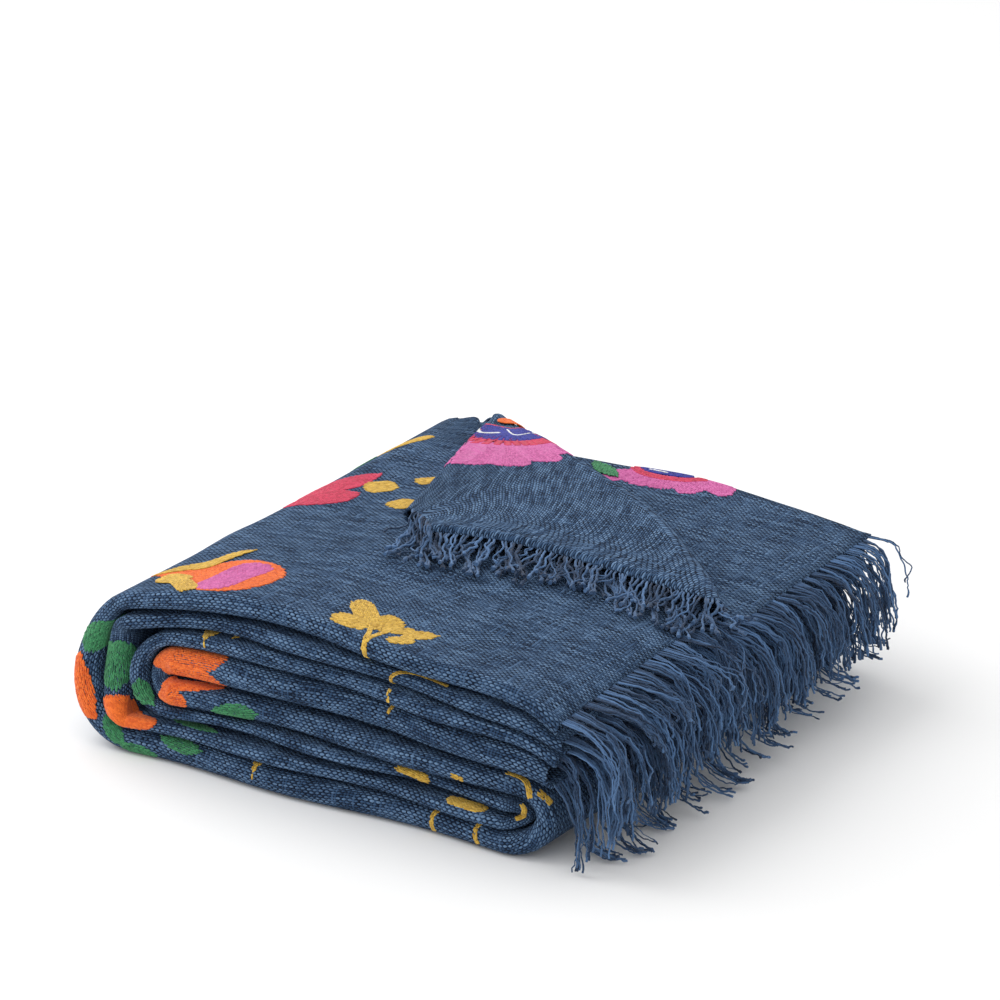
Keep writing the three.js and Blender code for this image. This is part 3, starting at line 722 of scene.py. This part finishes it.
def yarnTree():
    sockets = {"Yarn Radius": "Float", "Sides": "Int", "Crinkle": "Float"}
    tree, given, out = geometryTree("yarns along paths", sockets)

    def stored(name):
        return addNode(tree, "GeometryNodeInputNamedAttribute", {"Name": name}).outputs["Attribute"]

    def vectorMath(operation, first, second):
        key = "Scale" if operation == "SCALE" else 1
        return addNode(tree, "ShaderNodeVectorMath", {0: first, key: second}, operation=operation).outputs[0]

    def crinkle(place, scale, size):
        centred = vectorMath("SUBTRACT", noiseNode(tree, place, scale, 1, "Color"), (0.5, 0.5, 0.5))
        return vectorMath("MULTIPLY", centred, (size, size, size))

    position = addNode(tree, "GeometryNodeInputPosition").outputs[0]
    ownPlace = vectorMath("ADD", position, vectorMath("MULTIPLY", stored("tone"), crinkles["ownPlace"]))
    both = vectorMath("ADD", crinkle(position, crinkles["broadScale"], 1),
                      crinkle(ownPlace, crinkles["fineScale"], crinkles["fine"]))
    grown = vectorMath("SCALE", vectorMath("SCALE", both, given["Crinkle"]), stored("loose"))
    curve = addNode(tree, "GeometryNodeMeshToCurve", {"Mesh": given["Geometry"]})
    moved = addNode(tree, "GeometryNodeSetPosition", {"Geometry": curve.outputs[0], "Offset": grown})
    thick = addNode(tree, "GeometryNodeSetCurveRadius",
                    {"Curve": moved.outputs[0], "Radius": stored("thickness")})
    profile = addNode(tree, "GeometryNodeCurvePrimitiveCircle",
                      {"Resolution": given["Sides"], "Radius": given["Yarn Radius"]})
    sweep = addNode(tree, "GeometryNodeCurveToMesh", {
        "Curve": thick.outputs[0], "Profile Curve": profile.outputs[0], "Fill Caps": True,
        "Scale": addNode(tree, "GeometryNodeInputRadius").outputs[0]})
    finishTree(tree, given, out, sweep.outputs[0])
    return tree


def bakeNodes(name, mesh, tree, values):
    # the tree is run once and its result kept as a plain mesh
    source = toScene(name + "Paths", mesh)
    modifier = source.modifiers.new("made by nodes", "NODES")
    modifier.node_group = tree
    sockets = {item.name: item.identifier for item in tree.interface.items_tree if item.in_out == "INPUT"}
    for label, value in values.items():
        modifier[sockets[label]] = value
    graph = bpy.context.evaluated_depsgraph_get()
    made = bpy.data.meshes.new_from_object(source.evaluated_get(graph), depsgraph=graph)
    made.name = name
    source.modifiers.remove(modifier)
    bpy.data.objects.remove(source)
    made.polygons.foreach_set("use_smooth", [True] * len(made.polygons))
    return made


def curveThrough(points, perSpan):
    # a smooth line through the given points
    if len(points) == 2:
        points = [points[0], points[0].lerp(points[1], 0.5), points[1]]
    padded = [points[0] * 2 - points[1], *points, points[-1] * 2 - points[-2]]
    line = []
    for k in range(1, len(padded) - 2):
        p0, p1, p2, p3 = padded[k - 1:k + 3]
        for step in range(perSpan):
            t = step / perSpan
            line.append(0.5 * (2 * p1 + (p2 - p0) * t + (2 * p0 - 5 * p1 + 4 * p2 - p3) * t ** 2
                               + (3 * p1 - p0 - 3 * p2 + p3) * t ** 3))
    line.append(points[-1])
    return line


# Along a line with these lengths: the span that holds a place, by its end, and the share of that span
def spanAt(lengths, distance):
    k = min(max(int(np.searchsorted(lengths, distance)), 1), len(lengths) - 1)
    return k, (distance - lengths[k - 1]) / max(lengths[k] - lengths[k - 1], 1e-6)


def fringePaths(edge, fringe, seed):
    look = bunches[fringe["fall"]]
    isLying = fringe["fall"] == "lying"
    chance = np.random.default_rng(seed)
    lengths = pathLength([point for point, _ in edge])
    total = lengths[-1]
    alongEdge = edge[-1][0] - edge[0][0]
    alongEdge.z = 0
    alongEdge.normalize()

    def at(distance):
        held = min(max(distance, 0), total)
        k, share = spanAt(lengths, held)
        way = edge[k - 1][1].lerp(edge[k][1], share).normalized()
        if not isLying and held > total - strand["lastTurned"]:
            way = edge[int(np.searchsorted(lengths, total - strand["lastTurned"]))][1]
        return edge[k - 1][0].lerp(edge[k][0], share), way

    def hang(root, length, reach, down):
        lowest = strand["aboveFloor"] + backTips["rise"] * smooth(root.y, backTips["from"], back)
        return root.z - down * min(length - strand["reachInLength"] * reach, root.z - lowest)

    def yarn(place, bunch):
        root, outward = at(place + chance.uniform(-1, 1) * strand["rootVaries"] * look["pitch"])
        level = Vector((outward.x, outward.y, 0)).normalized()
        isStray = chance.uniform(0, 1) < strand["strays"]
        wildness = strand["strayBy"] if isStray else 1
        reach = bunch["reach"] * (1 + strand["reachVaries"] * wildness * chance.uniform(-1, 1))
        length = bunch["length"] + chance.uniform(-1, 1) * look["frayed"]
        depth = chance.uniform(-1, 1) * look["depth"]
        aside = (bunch["middle"] - place) * look["gather"] * chance.uniform(*strand["gatherVaries"])
        tipAside = chance.uniform(-1, 1) * look["splay"] * wildness
        line = []
        for out, down in falls[fringe["fall"]]:
            sideways = bunch["slant"] * out * lerp(strand["slantAtRoot"], 1, down)
            sideways += aside * smooth(out, 0, 1) + tipAside * down ** 2
            point = root + level * (out * reach) + alongEdge * sideways
            if isLying:
                bed = stackHeight(point.x, point.y) + fringe["bed"] + bunch["bed"]
                point.z = lerp(root.z, bed, down)
            else:
                point.z = hang(root, length, reach, down)
                point += level * (depth * down)
                point.z += depth * strand["depthUp"] * out * (1 - down)
            line.append(point)
        line = curveThrough(line, strand["perSpan"])
        phases = chance.uniform(0, 2 * math.pi, 2)
        waves = chance.uniform(*strand["waves"])
        for k, point in enumerate(line):
            share = k / (len(line) - 1)
            size = strand["waveSize"] * wildness * smooth(share, 0, strand["waveGrown"])
            sideways, outward = np.sin(2 * math.pi * waves * share + phases) * size
            point += alongEdge * sideways + level * (strand["waveOutward"] * outward)
        return line, chance.uniform(*strand["strayWeight" if isStray else "weight"])

    paths = []
    start = 0.0
    while start < total - strand["leastWidth"]:
        width = min(chance.uniform(*look["width"]), total - start)
        isCorner = fringe["fall"] == "hanging" and start < strand["corner"]
        isLast = not isLying and start + width > total - strand["last"]
        reach = 1 + look["reachVaries"] * chance.uniform(-1, strand["lastReach"] if isLast else 1)
        length, slant = strand["cornerLength"], strand["cornerSlant"]
        if not isCorner:
            length = 1 + look["lengthVaries"] * chance.uniform(-1, strand["mostLonger"])
            slant = chance.uniform(-1, strand["lastSlant"] if isLast else 1)
        bunch = {"middle": start + width / 2, "reach": fringe["reach"] * reach,
                 "length": fringe.get("length", 0) * length, "slant": look["slant"] * slant,
                 "bed": chance.uniform(0, strand["bedVaries"])}
        places = np.arange(start + look["pitch"] / 2, start + width, look["pitch"])
        paths += [yarn(place, bunch) for place in places]
        start += width + chance.uniform(*look["gap"])
    return paths


def pathsMesh(name, paths, knot):
    points, edges, thickness, tones, loose = [], [], [], [], []
    chance = np.random.default_rng(len(paths))
    for path, weight in paths:
        tone = chance.uniform(0, 1)
        first = len(points)
        for k, point in enumerate(path):
            share = k / (len(path) - 1)
            points.append(Vector(point) * mm + Vector(stackShift))
            thickness.append(weight * (1 - strand["taper"] * share + knot * smooth(share, *strand["knotAt"])))
            tones.append(tone)
            loose.append(smooth(share, 0, strand["looseFrom"]))
            if k:
                edges.append((first + k - 1, first + k))
    mesh = bpy.data.meshes.new(name)
    mesh.from_pydata(points, edges, [])
    for label, values in (("thickness", thickness), ("tone", tones), ("loose", loose)):
        mesh.attributes.new(label, "FLOAT", "POINT").data.foreach_set("value", values)
    return mesh


rows = fringeEdges()
yarnNodes = yarnTree()
for seed, fringe in enumerate(fringes):
    look = bunches[fringe["fall"]]
    paths = fringePaths(rows[fringe["edge"]], fringe, strand["seed"] + seed)
    name = "fringe" + fringe["edge"][0].upper() + fringe["edge"][1:]
    mesh = bakeNodes(name, pathsMesh(name + "Paths", paths, look["knot"]), yarnNodes, {
        "Yarn Radius": look["yarn"] / 2 * mm, "Sides": look["sides"], "Crinkle": look["crinkle"],
        "Material": fringeCotton})
    piece = newObject(name, mesh, fringeCotton)
    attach(piece, "root")
    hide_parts(fringe["node"])
    print(name, len(paths), "yarns", len(mesh.polygons), "faces")


# Embroidery: rows of raised stitches in cotton thread, along strokes drawn in the flat cloth's millimetres
threads = {
    "yellow": ((0.44, 0.25, 0.028), (0.80, 0.52, 0.085)),
    "orange": ((0.62, 0.085, 0.012), (0.93, 0.20, 0.028)),
    "crimson": ((0.42, 0.018, 0.055), (0.72, 0.050, 0.125)),
    "pink": ((0.46, 0.070, 0.260), (0.72, 0.165, 0.440)),
    "green": ((0.020, 0.130, 0.055), (0.060, 0.300, 0.120)),
    "royal": ((0.012, 0.016, 0.170), (0.035, 0.045, 0.380)),
    "white": ((0.60, 0.60, 0.60), (0.90, 0.90, 0.90)),
}
stitch = {
    "length": 3.8, "width": 1.8, "height": 1.1, "segments": 5, "rings": 3, "rowPitch": 1.25, "advance": 2.5,
    "lift": 0.15, "layer": 0.32, "strayAlong": 0.2, "strayAside": 0.15, "leastDrawn": 0.7, "mostDrawn": 4.2,
    "probe": 3, "perSpan": 12, "probeEvery": 6, "overEdge": 0.1, "leastWay": 0.1, "seed": 7,
}

# Strokes: thread, width, shape, side of the cloth (1 is the face), and the middle line of each
motifs = {
    "bud": [
        ("orange", 68, "drop", 1, ((360, 97), (326, 96), (292, 94), (254, 95))),
        ("pink", 30, "oval", 1, ((288, 62), (286, 92), (280, 122))),
        ("yellow", 15, "leaf", 1, ((354, 92), (337, 108), (321, 124), (306, 147))),
        ("yellow", 20, "oval", 1, ((342, 84), (316, 80))),
        ("yellow", 15, "oval", 1, ((322, 80), (297, 58))),
    ],
    "cloverSprig": [
        ("yellow", 18, "oval", 1, ((161, 70), (173, 68), (188, 67)), ((161, 74), (174, 86), (190, 100))),
        ("yellow", 21, "oval", 1, ((157, 72), (155, 83), (149, 95))),
        ("yellow", 3.4, "line", 1, ((160, 74), (153, 60), (149, 47), (152, 34)),
         ((150, 49), (149, 62), (147, 78))),
        ("yellow", 11, "oval", 1, ((147, 78), (141, 84), (133, 87))),
        ("yellow", 12, "oval", 1, ((140, 66), (132, 69), (127, 77))),
        ("yellow", 13, "leaf", 1, ((136, 76), (128, 87), (119, 95))),
    ],
    "twinLeaf": [
        ("crimson", 34, "leaf", 1, ((360, 254), (339, 278), (322, 303))),
        ("crimson", 27, "leaf", 1, ((362, 275), (345, 312), (329, 349))),
    ],
    "berries": [
        ("yellow", 25, "oval", 1, ((324, 315), (305, 330))),
        ("yellow", 23, "oval", 1, ((282, 280), (272, 298))),
        ("yellow", 18, "oval", 1, ((298, 345), (284, 356))),
        ("yellow", 9, "oval", 1, ((366, 404), (340, 456))),
        ("green", 10, "leaf", 1, ((372, 372), (364, 402))),
    ],
    "flapFlower": [
        ("pink", 13, "line", 1, ((264, 492), (233, 502), (220, 535), (230, 568), (260, 578))),
        ("pink", 27, "petal", 1, ((219, 525), (194, 521), (172, 513)),
         ((217, 535), (190, 535), (166, 534)), ((217, 546), (190, 552), (165, 557)),
         ((227, 554), (207, 566), (188, 579)), ((243, 557), (230, 570), (214, 587)),
         ((234, 517), (218, 509), (203, 499)), ((258, 560), (252, 575), (243, 595)),
         ((250, 511), (243, 499), (232, 487))),
        ("crimson", 52, "oval", 1, ((268, 499), (246, 535), (264, 571))),
        ("royal", 36, "oval", 1, ((268, 508), (252, 535), (264, 563))),
        ("white", 1.6, "line", 1, ((266, 514), (252, 521), (256, 531)),
         ((266, 535), (252, 543), (258, 553))),
        ("orange", 10, "oval", 1, ((290, 525), (286, 541))),
    ],
    "backFlower": [
        ("pink", 22, "petal", 1, ((186, 1397), (196, 1385), (206, 1375))),
        ("pink", 24, "petal", 1, ((174, 1395), (178, 1383), (182, 1371)),
         ((164, 1395), (160, 1383), (156, 1371)), ((152, 1397), (142, 1387), (130, 1377))),
        ("pink", 20, "petal", 1, ((140, 1401), (124, 1395), (106, 1391))),
        ("crimson", 7, "line", 1, ((196, 1401), (184, 1393), (168, 1390), (150, 1393), (136, 1402))),
        ("royal", 10, "oval", 1, ((190, 1402), (170, 1400), (146, 1402))),
        ("white", 1.6, "line", 1, ((182, 1400), (168, 1399))),
        ("green", 13, "leaf", 1, ((226, 1397), (213, 1387), (196, 1377))),
    ],
    "outerTurn": [
        ("green", 22, "leaf", 1, ((424, 47), (404, 42), (384, 30))),
        ("orange", 12, "leaf", 1, ((424, 51), (449, 50), (480, 47))),
        ("green", 9, "leaf", 1, ((482, 42), (500, 45), (517, 49))),
        ("green", 8, "leaf", 1, ((510, 50), (526, 52), (542, 52))),
    ],
    "secondBand": [
        ("green", 17, "leaf", -1, ((402, 986), (430, 984), (458, 986))),
        ("orange", 15, "oval", -1, ((464, 984), (495, 990), (540, 988))),
        ("orange", 9, "oval", -1, ((478, 996), (500, 1000), (522, 998))),
    ],
    "coreFlower": [
        ("orange", 17, "oval", 1, ((1262, 42), (1305, 41), (1350, 41)),
         ((1266, 55), (1305, 56), (1350, 56))),
        ("orange", 12, "oval", 1, ((1228, 55), (1190, 58), (1156, 62)),
         ((1214, 47), (1195, 46), (1178, 46))),
        ("orange", 8, "oval", 1, ((1200, 40), (1188, 39))),
        ("pink", 2.5, "line", 1, ((1308, 60), (1300, 60))),
        ("green", 11, "leaf", -1, ((1244, 981), (1230, 981), (1212, 981))),
    ],
    "frontLeaves": [
        ("green", 12, "leaf", 1, ((1158, 44), (1140, 45), (1121, 48))),
        ("green", 9, "leaf", -1, ((549, 998), (569, 996), (589, 995))),
        ("green", 8, "leaf", 1, ((541, 41), (562, 43), (580, 44))),
    ],
    "frontPoints": [
        ("yellow", 13, "wedge", -1, ((1331, 1002), (1334, 984))),
        ("yellow", 5, "wedge", -1, ((1352, 1003), (1352, 996))),
        ("yellow", 9, "wedge", 1, ((627, 36), (627, 48))),
    ],
    "backLoops": [
        ("green", 3.6, "leaf", 1, ((560, 516.6), (590, 517.6), (622, 518.6))),
        ("yellow", 3, "oval", 1, ((640, 517), (660, 517.4))),
        ("yellow", 2.8, "oval", 1, ((672, 518.4), (690, 518))),
        ("orange", 3.6, "leaf", 1, ((742, 518.6), (772, 517.6), (800, 516.6))),
        ("pink", 3.4, "petal", 1, ((1010, 514.5), (1030, 513.5), (1052, 513)),
         ((1010, 516), (1034, 517), (1058, 517.5))),
        ("yellow", 4, "leaf", 1, ((1392, 514), (1420, 515.5), (1448, 516.5))),
    ],
    "frontSprig": [
        ("yellow", 3, "line", -1, ((131, 994), (131, 983), (118, 976), (104, 974), (90, 974))),
        ("yellow", 5, "line", -1, ((110, 974), (108, 966))),
        ("yellow", 3, "line", -1, ((1482, 990), (1484, 983))),
        ("yellow", 3, "line", 1, ((1486, 38), (1485, 44))),
        ("yellow", 9, "oval", -1, ((1009, 978), (996, 980), (982, 984))),
        ("yellow", 11, "oval", -1, ((780, 994), (796, 994), (812, 994))),
        ("yellow", 4, "line", 1, ((960, 47), (954, 46))),
        ("yellow", 3, "line", 1, ((774, 38), (770, 45), (771, 52)), ((808, 38), (806, 45), (808, 51))),
        ("yellow", 4, "line", 1, ((923, 58), (911, 57), (900, 50))),
        ("yellow", 4, "line", -1, ((898, 976), (880, 984), (852, 986))),
        ("yellow", 5, "line", 1, ((898, 56), (889, 58))),
    ],
}


def roundEnd(t, start):
    return math.sqrt(max(0, 1 - ((t - start) / (1 - start)) ** 2))


outlines = {
    "leaf": lambda t: arch(t) ** 0.75,
    "oval": lambda t: math.sqrt(1 - (2 * t - 1) ** 4),
    "petal": lambda t: 0.3 + 0.7 * arch(t * 0.62 + 0.06) if t < 0.8 else roundEnd(t, 0.8),
    "drop": lambda t: smooth(t, -0.12, 0.72) if t < 0.72 else roundEnd(t, 0.72),
    "line": lambda t: 1,
    "wedge": lambda t: 1 - t,
}

flatPlaces = np.array(cloth["flat"]["flatCloth"])
flatFaces = cloth["faces"]
flatTree = BVHTree.FromPolygons([(u, v, 0) for u, v in flatPlaces], flatFaces)


def onCloth(u, v):
    hit, _, index, _ = flatTree.ray_cast(Vector((u, v, 1)), Vector((0, 0, -1)))
    if hit is None:
        hit, _, index, _ = flatTree.find_nearest(Vector((u, v, 0)))
    face = flatFaces[index]
    best = None
    for corners in ((0, 1, 2), (0, 2, 3)):
        a, b, c = (face[k] for k in corners)
        sides = np.column_stack([flatPlaces[b] - flatPlaces[a], flatPlaces[c] - flatPlaces[a]])
        if abs(np.linalg.det(sides)) < 1e-9:
            continue
        s, t = np.linalg.solve(sides, np.array([hit[0], hit[1]]) - flatPlaces[a])
        outside = max(0, -s) + max(0, -t) + max(0, s + t - 1)
        if best is None or outside < best[0]:
            weights = ((a, 1 - s - t), (b, s), (c, t))
            place = sum(settled[k] * w for k, w in weights)
            normal = sum(clothNormals[k] * w for k, w in weights)
            best = (outside, place, normal / np.linalg.norm(normal))
    return Vector(best[1]), Vector(best[2])


def strokeStitches(line, width, shape, side, layer, chance):
    flat = curveThrough([Vector((*point, 0)) for point in line], stitch["perSpan"])
    lengths = pathLength(flat)
    total = lengths[-1]
    # how far the flat cloth's millimetres are drawn out along the stroke and across it
    probe = stitch["probe"]
    drawnAlong = drawnAside = stitch["leastDrawn"]
    for k in range(0, len(flat) - 1, stitch["probeEvery"]):
        u, v = flat[k].x, flat[k].y
        along = (flat[k + 1] - flat[k]).normalized() * probe
        here = onCloth(u, v)[0]
        drawnAlong = max(drawnAlong, (onCloth(u + along.x, v + along.y)[0] - here).length / probe)
        drawnAside = max(drawnAside, (onCloth(u - along.y, v + along.x)[0] - here).length / probe)
    rowPitch = stitch["rowPitch"] / min(drawnAside, stitch["mostDrawn"])
    advance = stitch["advance"] / min(drawnAlong, stitch["mostDrawn"])
    rows = max(1, round(width / rowPitch))
    steps = max(1, int(total / advance))
    lift = throw["thickness"] / 2 + stitch["lift"] + layer * stitch["layer"]
    found = []
    for row in range(rows):
        offset = (row - (rows - 1) / 2) * rowPitch
        for k in range(steps + 1):
            stray = chance.uniform(-stitch["strayAlong"], stitch["strayAlong"])
            t = min(1, max(0, (k + 0.5 * (row % 2) + stray) / steps))
            if abs(offset) > outlines[shape](t) * width / 2 + stitch["overEdge"]:
                continue
            i, share = spanAt(lengths, t * total)
            along = (flat[i] - flat[i - 1]).normalized()
            aside = offset + chance.uniform(-stitch["strayAside"], stitch["strayAside"])
            place = flat[i - 1].lerp(flat[i], share) + Vector((-along.y, along.x, 0)) * aside
            point, normal = onCloth(place.x, place.y)
            way = onCloth(place.x + along.x * probe / 2, place.y + along.y * probe / 2)[0] - point
            if way.length < stitch["leastWay"]:
                continue
            normal = normal * side
            way = (way - normal * way.dot(normal)).normalized()
            found.append((point + normal * lift, way, normal, chance.uniform(0, 1)))
    return found


def stitchTree():
    sockets = {"Stitch Size": "Vector", "Segments": "Int", "Rings": "Int"}
    tree, given, out = geometryTree("stitches on cloth", sockets)
    grain = addNode(tree, "GeometryNodeMeshUVSphere",
                    {"Segments": given["Segments"], "Rings": given["Rings"], "Radius": 0.5})
    # poles turned to the ends of the stitch
    laid = addNode(tree, "GeometryNodeTransform",
                   {"Geometry": grain.outputs[0], "Rotation": (0, math.pi / 2, 0)})
    sized = addNode(tree, "GeometryNodeTransform",
                    {"Geometry": laid.outputs[0], "Scale": given["Stitch Size"]})
    turn = addNode(tree, "GeometryNodeInputNamedAttribute", {"Name": "turn"}, data_type="FLOAT_VECTOR")
    rotation = addNode(tree, "FunctionNodeEulerToRotation", {0: turn.outputs["Attribute"]})
    points = addNode(tree, "GeometryNodeMeshToPoints", {"Mesh": given["Geometry"]})
    placed = addNode(tree, "GeometryNodeInstanceOnPoints", {
        "Points": points.outputs[0], "Instance": sized.outputs[0], "Rotation": rotation.outputs[0]})
    finishTree(tree, given, out, placed.outputs[0])
    return tree


def stitchPoints(name, stitches):
    mesh = bpy.data.meshes.new(name)
    mesh.from_pydata([place * mm + Vector(stackShift) for place, *_ in stitches], [], [])
    turns = []
    for _, way, normal, _ in stitches:
        turns.extend(Matrix((way, normal.cross(way), normal)).transposed().to_euler())
    mesh.attributes.new("turn", "FLOAT_VECTOR", "POINT").data.foreach_set("vector", turns)
    mesh.attributes.new("tone", "FLOAT", "POINT").data.foreach_set("value", [tone for *_, tone in stitches])
    return mesh


def makeEmbroidery():
    tree = stitchTree()
    chance = np.random.default_rng(stitch["seed"])
    byThread = {thread: [] for thread in threads}
    for motif in motifs.values():
        # a thread sewn later lies on the threads before it
        sewn = list(dict.fromkeys(entry[0] for entry in motif))
        for thread, width, shape, side, *lines in motif:
            for line in lines:
                byThread[thread] += strokeStitches(line, width, shape, side, sewn.index(thread), chance)
    made = []
    for thread, stitches in byThread.items():
        dark, light = threads[thread]
        finish = yarnMaterial(thread + " thread", dark, light)
        name = "embroidery" + thread.capitalize()
        mesh = bakeNodes(name, stitchPoints(name + "Places", stitches), tree, {
            "Stitch Size": tuple(stitch[measure] * mm for measure in ("length", "width", "height")),
            "Segments": stitch["segments"], "Rings": stitch["rings"], "Material": finish})
        piece = newObject(name, mesh, finish)
        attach(piece, "root")
        made.append(piece)
        print(name, len(stitches), "stitches,", len(mesh.polygons), "faces")
    return made


embroidery = makeEmbroidery()


# Floor, light and camera
studio = {
    "floorSize": 9.0, "floorColour": (0.92, 0.92, 0.92), "floorGrain": 0.995, "grainScale": 300,
    "worldStrength": 0.91, "lookAt": (0, 0, 0.08), "keyPower": 32, "keySize": 2.2, "keyAt": (-1.6, -0.1, 1.7),
    "fillPower": 2, "fillSize": 2.0, "fillAt": (0.6, -2.0, 1.2),
}


def makeStudio():
    half = studio["floorSize"] / 2
    mesh = bpy.data.meshes.new("floor")
    corners = [(x * half, y * half, 0) for x, y in ((-1, -1), (1, -1), (1, 1), (-1, 1))]
    mesh.from_pydata(corners, [], [(0, 1, 2, 3)])
    paper, tree, shader = newMaterial("white paper floor", {"Roughness": 0.95, "Specular IOR Level": 0.1})
    grain = noiseNode(tree, addNode(tree, "ShaderNodeTexCoord").outputs["Object"], studio["grainScale"])
    colour = studio["floorColour"]
    darker = tuple(c * studio["floorGrain"] for c in colour)
    tree.links.new(ramp(tree, grain, [(0.3, darker), (0.7, colour)]), shader.inputs["Base Color"])
    newObject("floor", mesh, paper)
    # keeps the paper white and the threads bright
    bpy.context.scene.view_settings.view_transform = "Standard"
    world = bpy.data.worlds.new("white studio")
    bpy.context.scene.world = world
    world.use_nodes = True
    background = world.node_tree.nodes["Background"]
    background.inputs["Color"].default_value = (1, 1, 1, 1)
    background.inputs["Strength"].default_value = studio["worldStrength"]
    for name in ("key", "fill"):
        light = bpy.data.lights.new(name + "Light", "AREA")
        light.energy = studio[name + "Power"]
        light.size = studio[name + "Size"]
        lamp = toScene(name + "Light", light)
        lamp.location = studio[name + "At"]
        lamp.rotation_euler = (Vector(studio["lookAt"]) - lamp.location).to_track_quat("-Z", "Y").to_euler()


view = {"azimuth": 33.5, "elevation": 21.4, "distance": 3500, "target": (0, 0, 60), "aimRight": 16.9,
        "aimUp": 86.5, "lens": 179.17, "sensor": 36, "clip": (0.05, 30)}


def makeCamera():
    azimuth, elevation = math.radians(view["azimuth"]), math.radians(view["elevation"])
    toRight = Vector((math.cos(azimuth), math.sin(azimuth), 0))
    level = Vector((-math.sin(azimuth), math.cos(azimuth), 0))
    forward = level * math.cos(elevation) - Vector((0, 0, math.sin(elevation)))
    up = toRight.cross(forward)
    target = Vector(view["target"])
    place = target - forward * view["distance"]
    aim = target + toRight * view["aimRight"] + up * view["aimUp"]
    data = bpy.data.cameras.new("photoView")
    data.lens, data.sensor_width = view["lens"], view["sensor"]
    data.clip_start, data.clip_end = view["clip"]
    camera = toScene("photoView", data)
    camera.location = place * mm + Vector(stackShift)
    camera.rotation_euler = (aim - place).to_track_quat("-Z", "Y").to_euler()
    bpy.context.scene.camera = camera


makeStudio()
makeCamera()
print("studio and camera set")
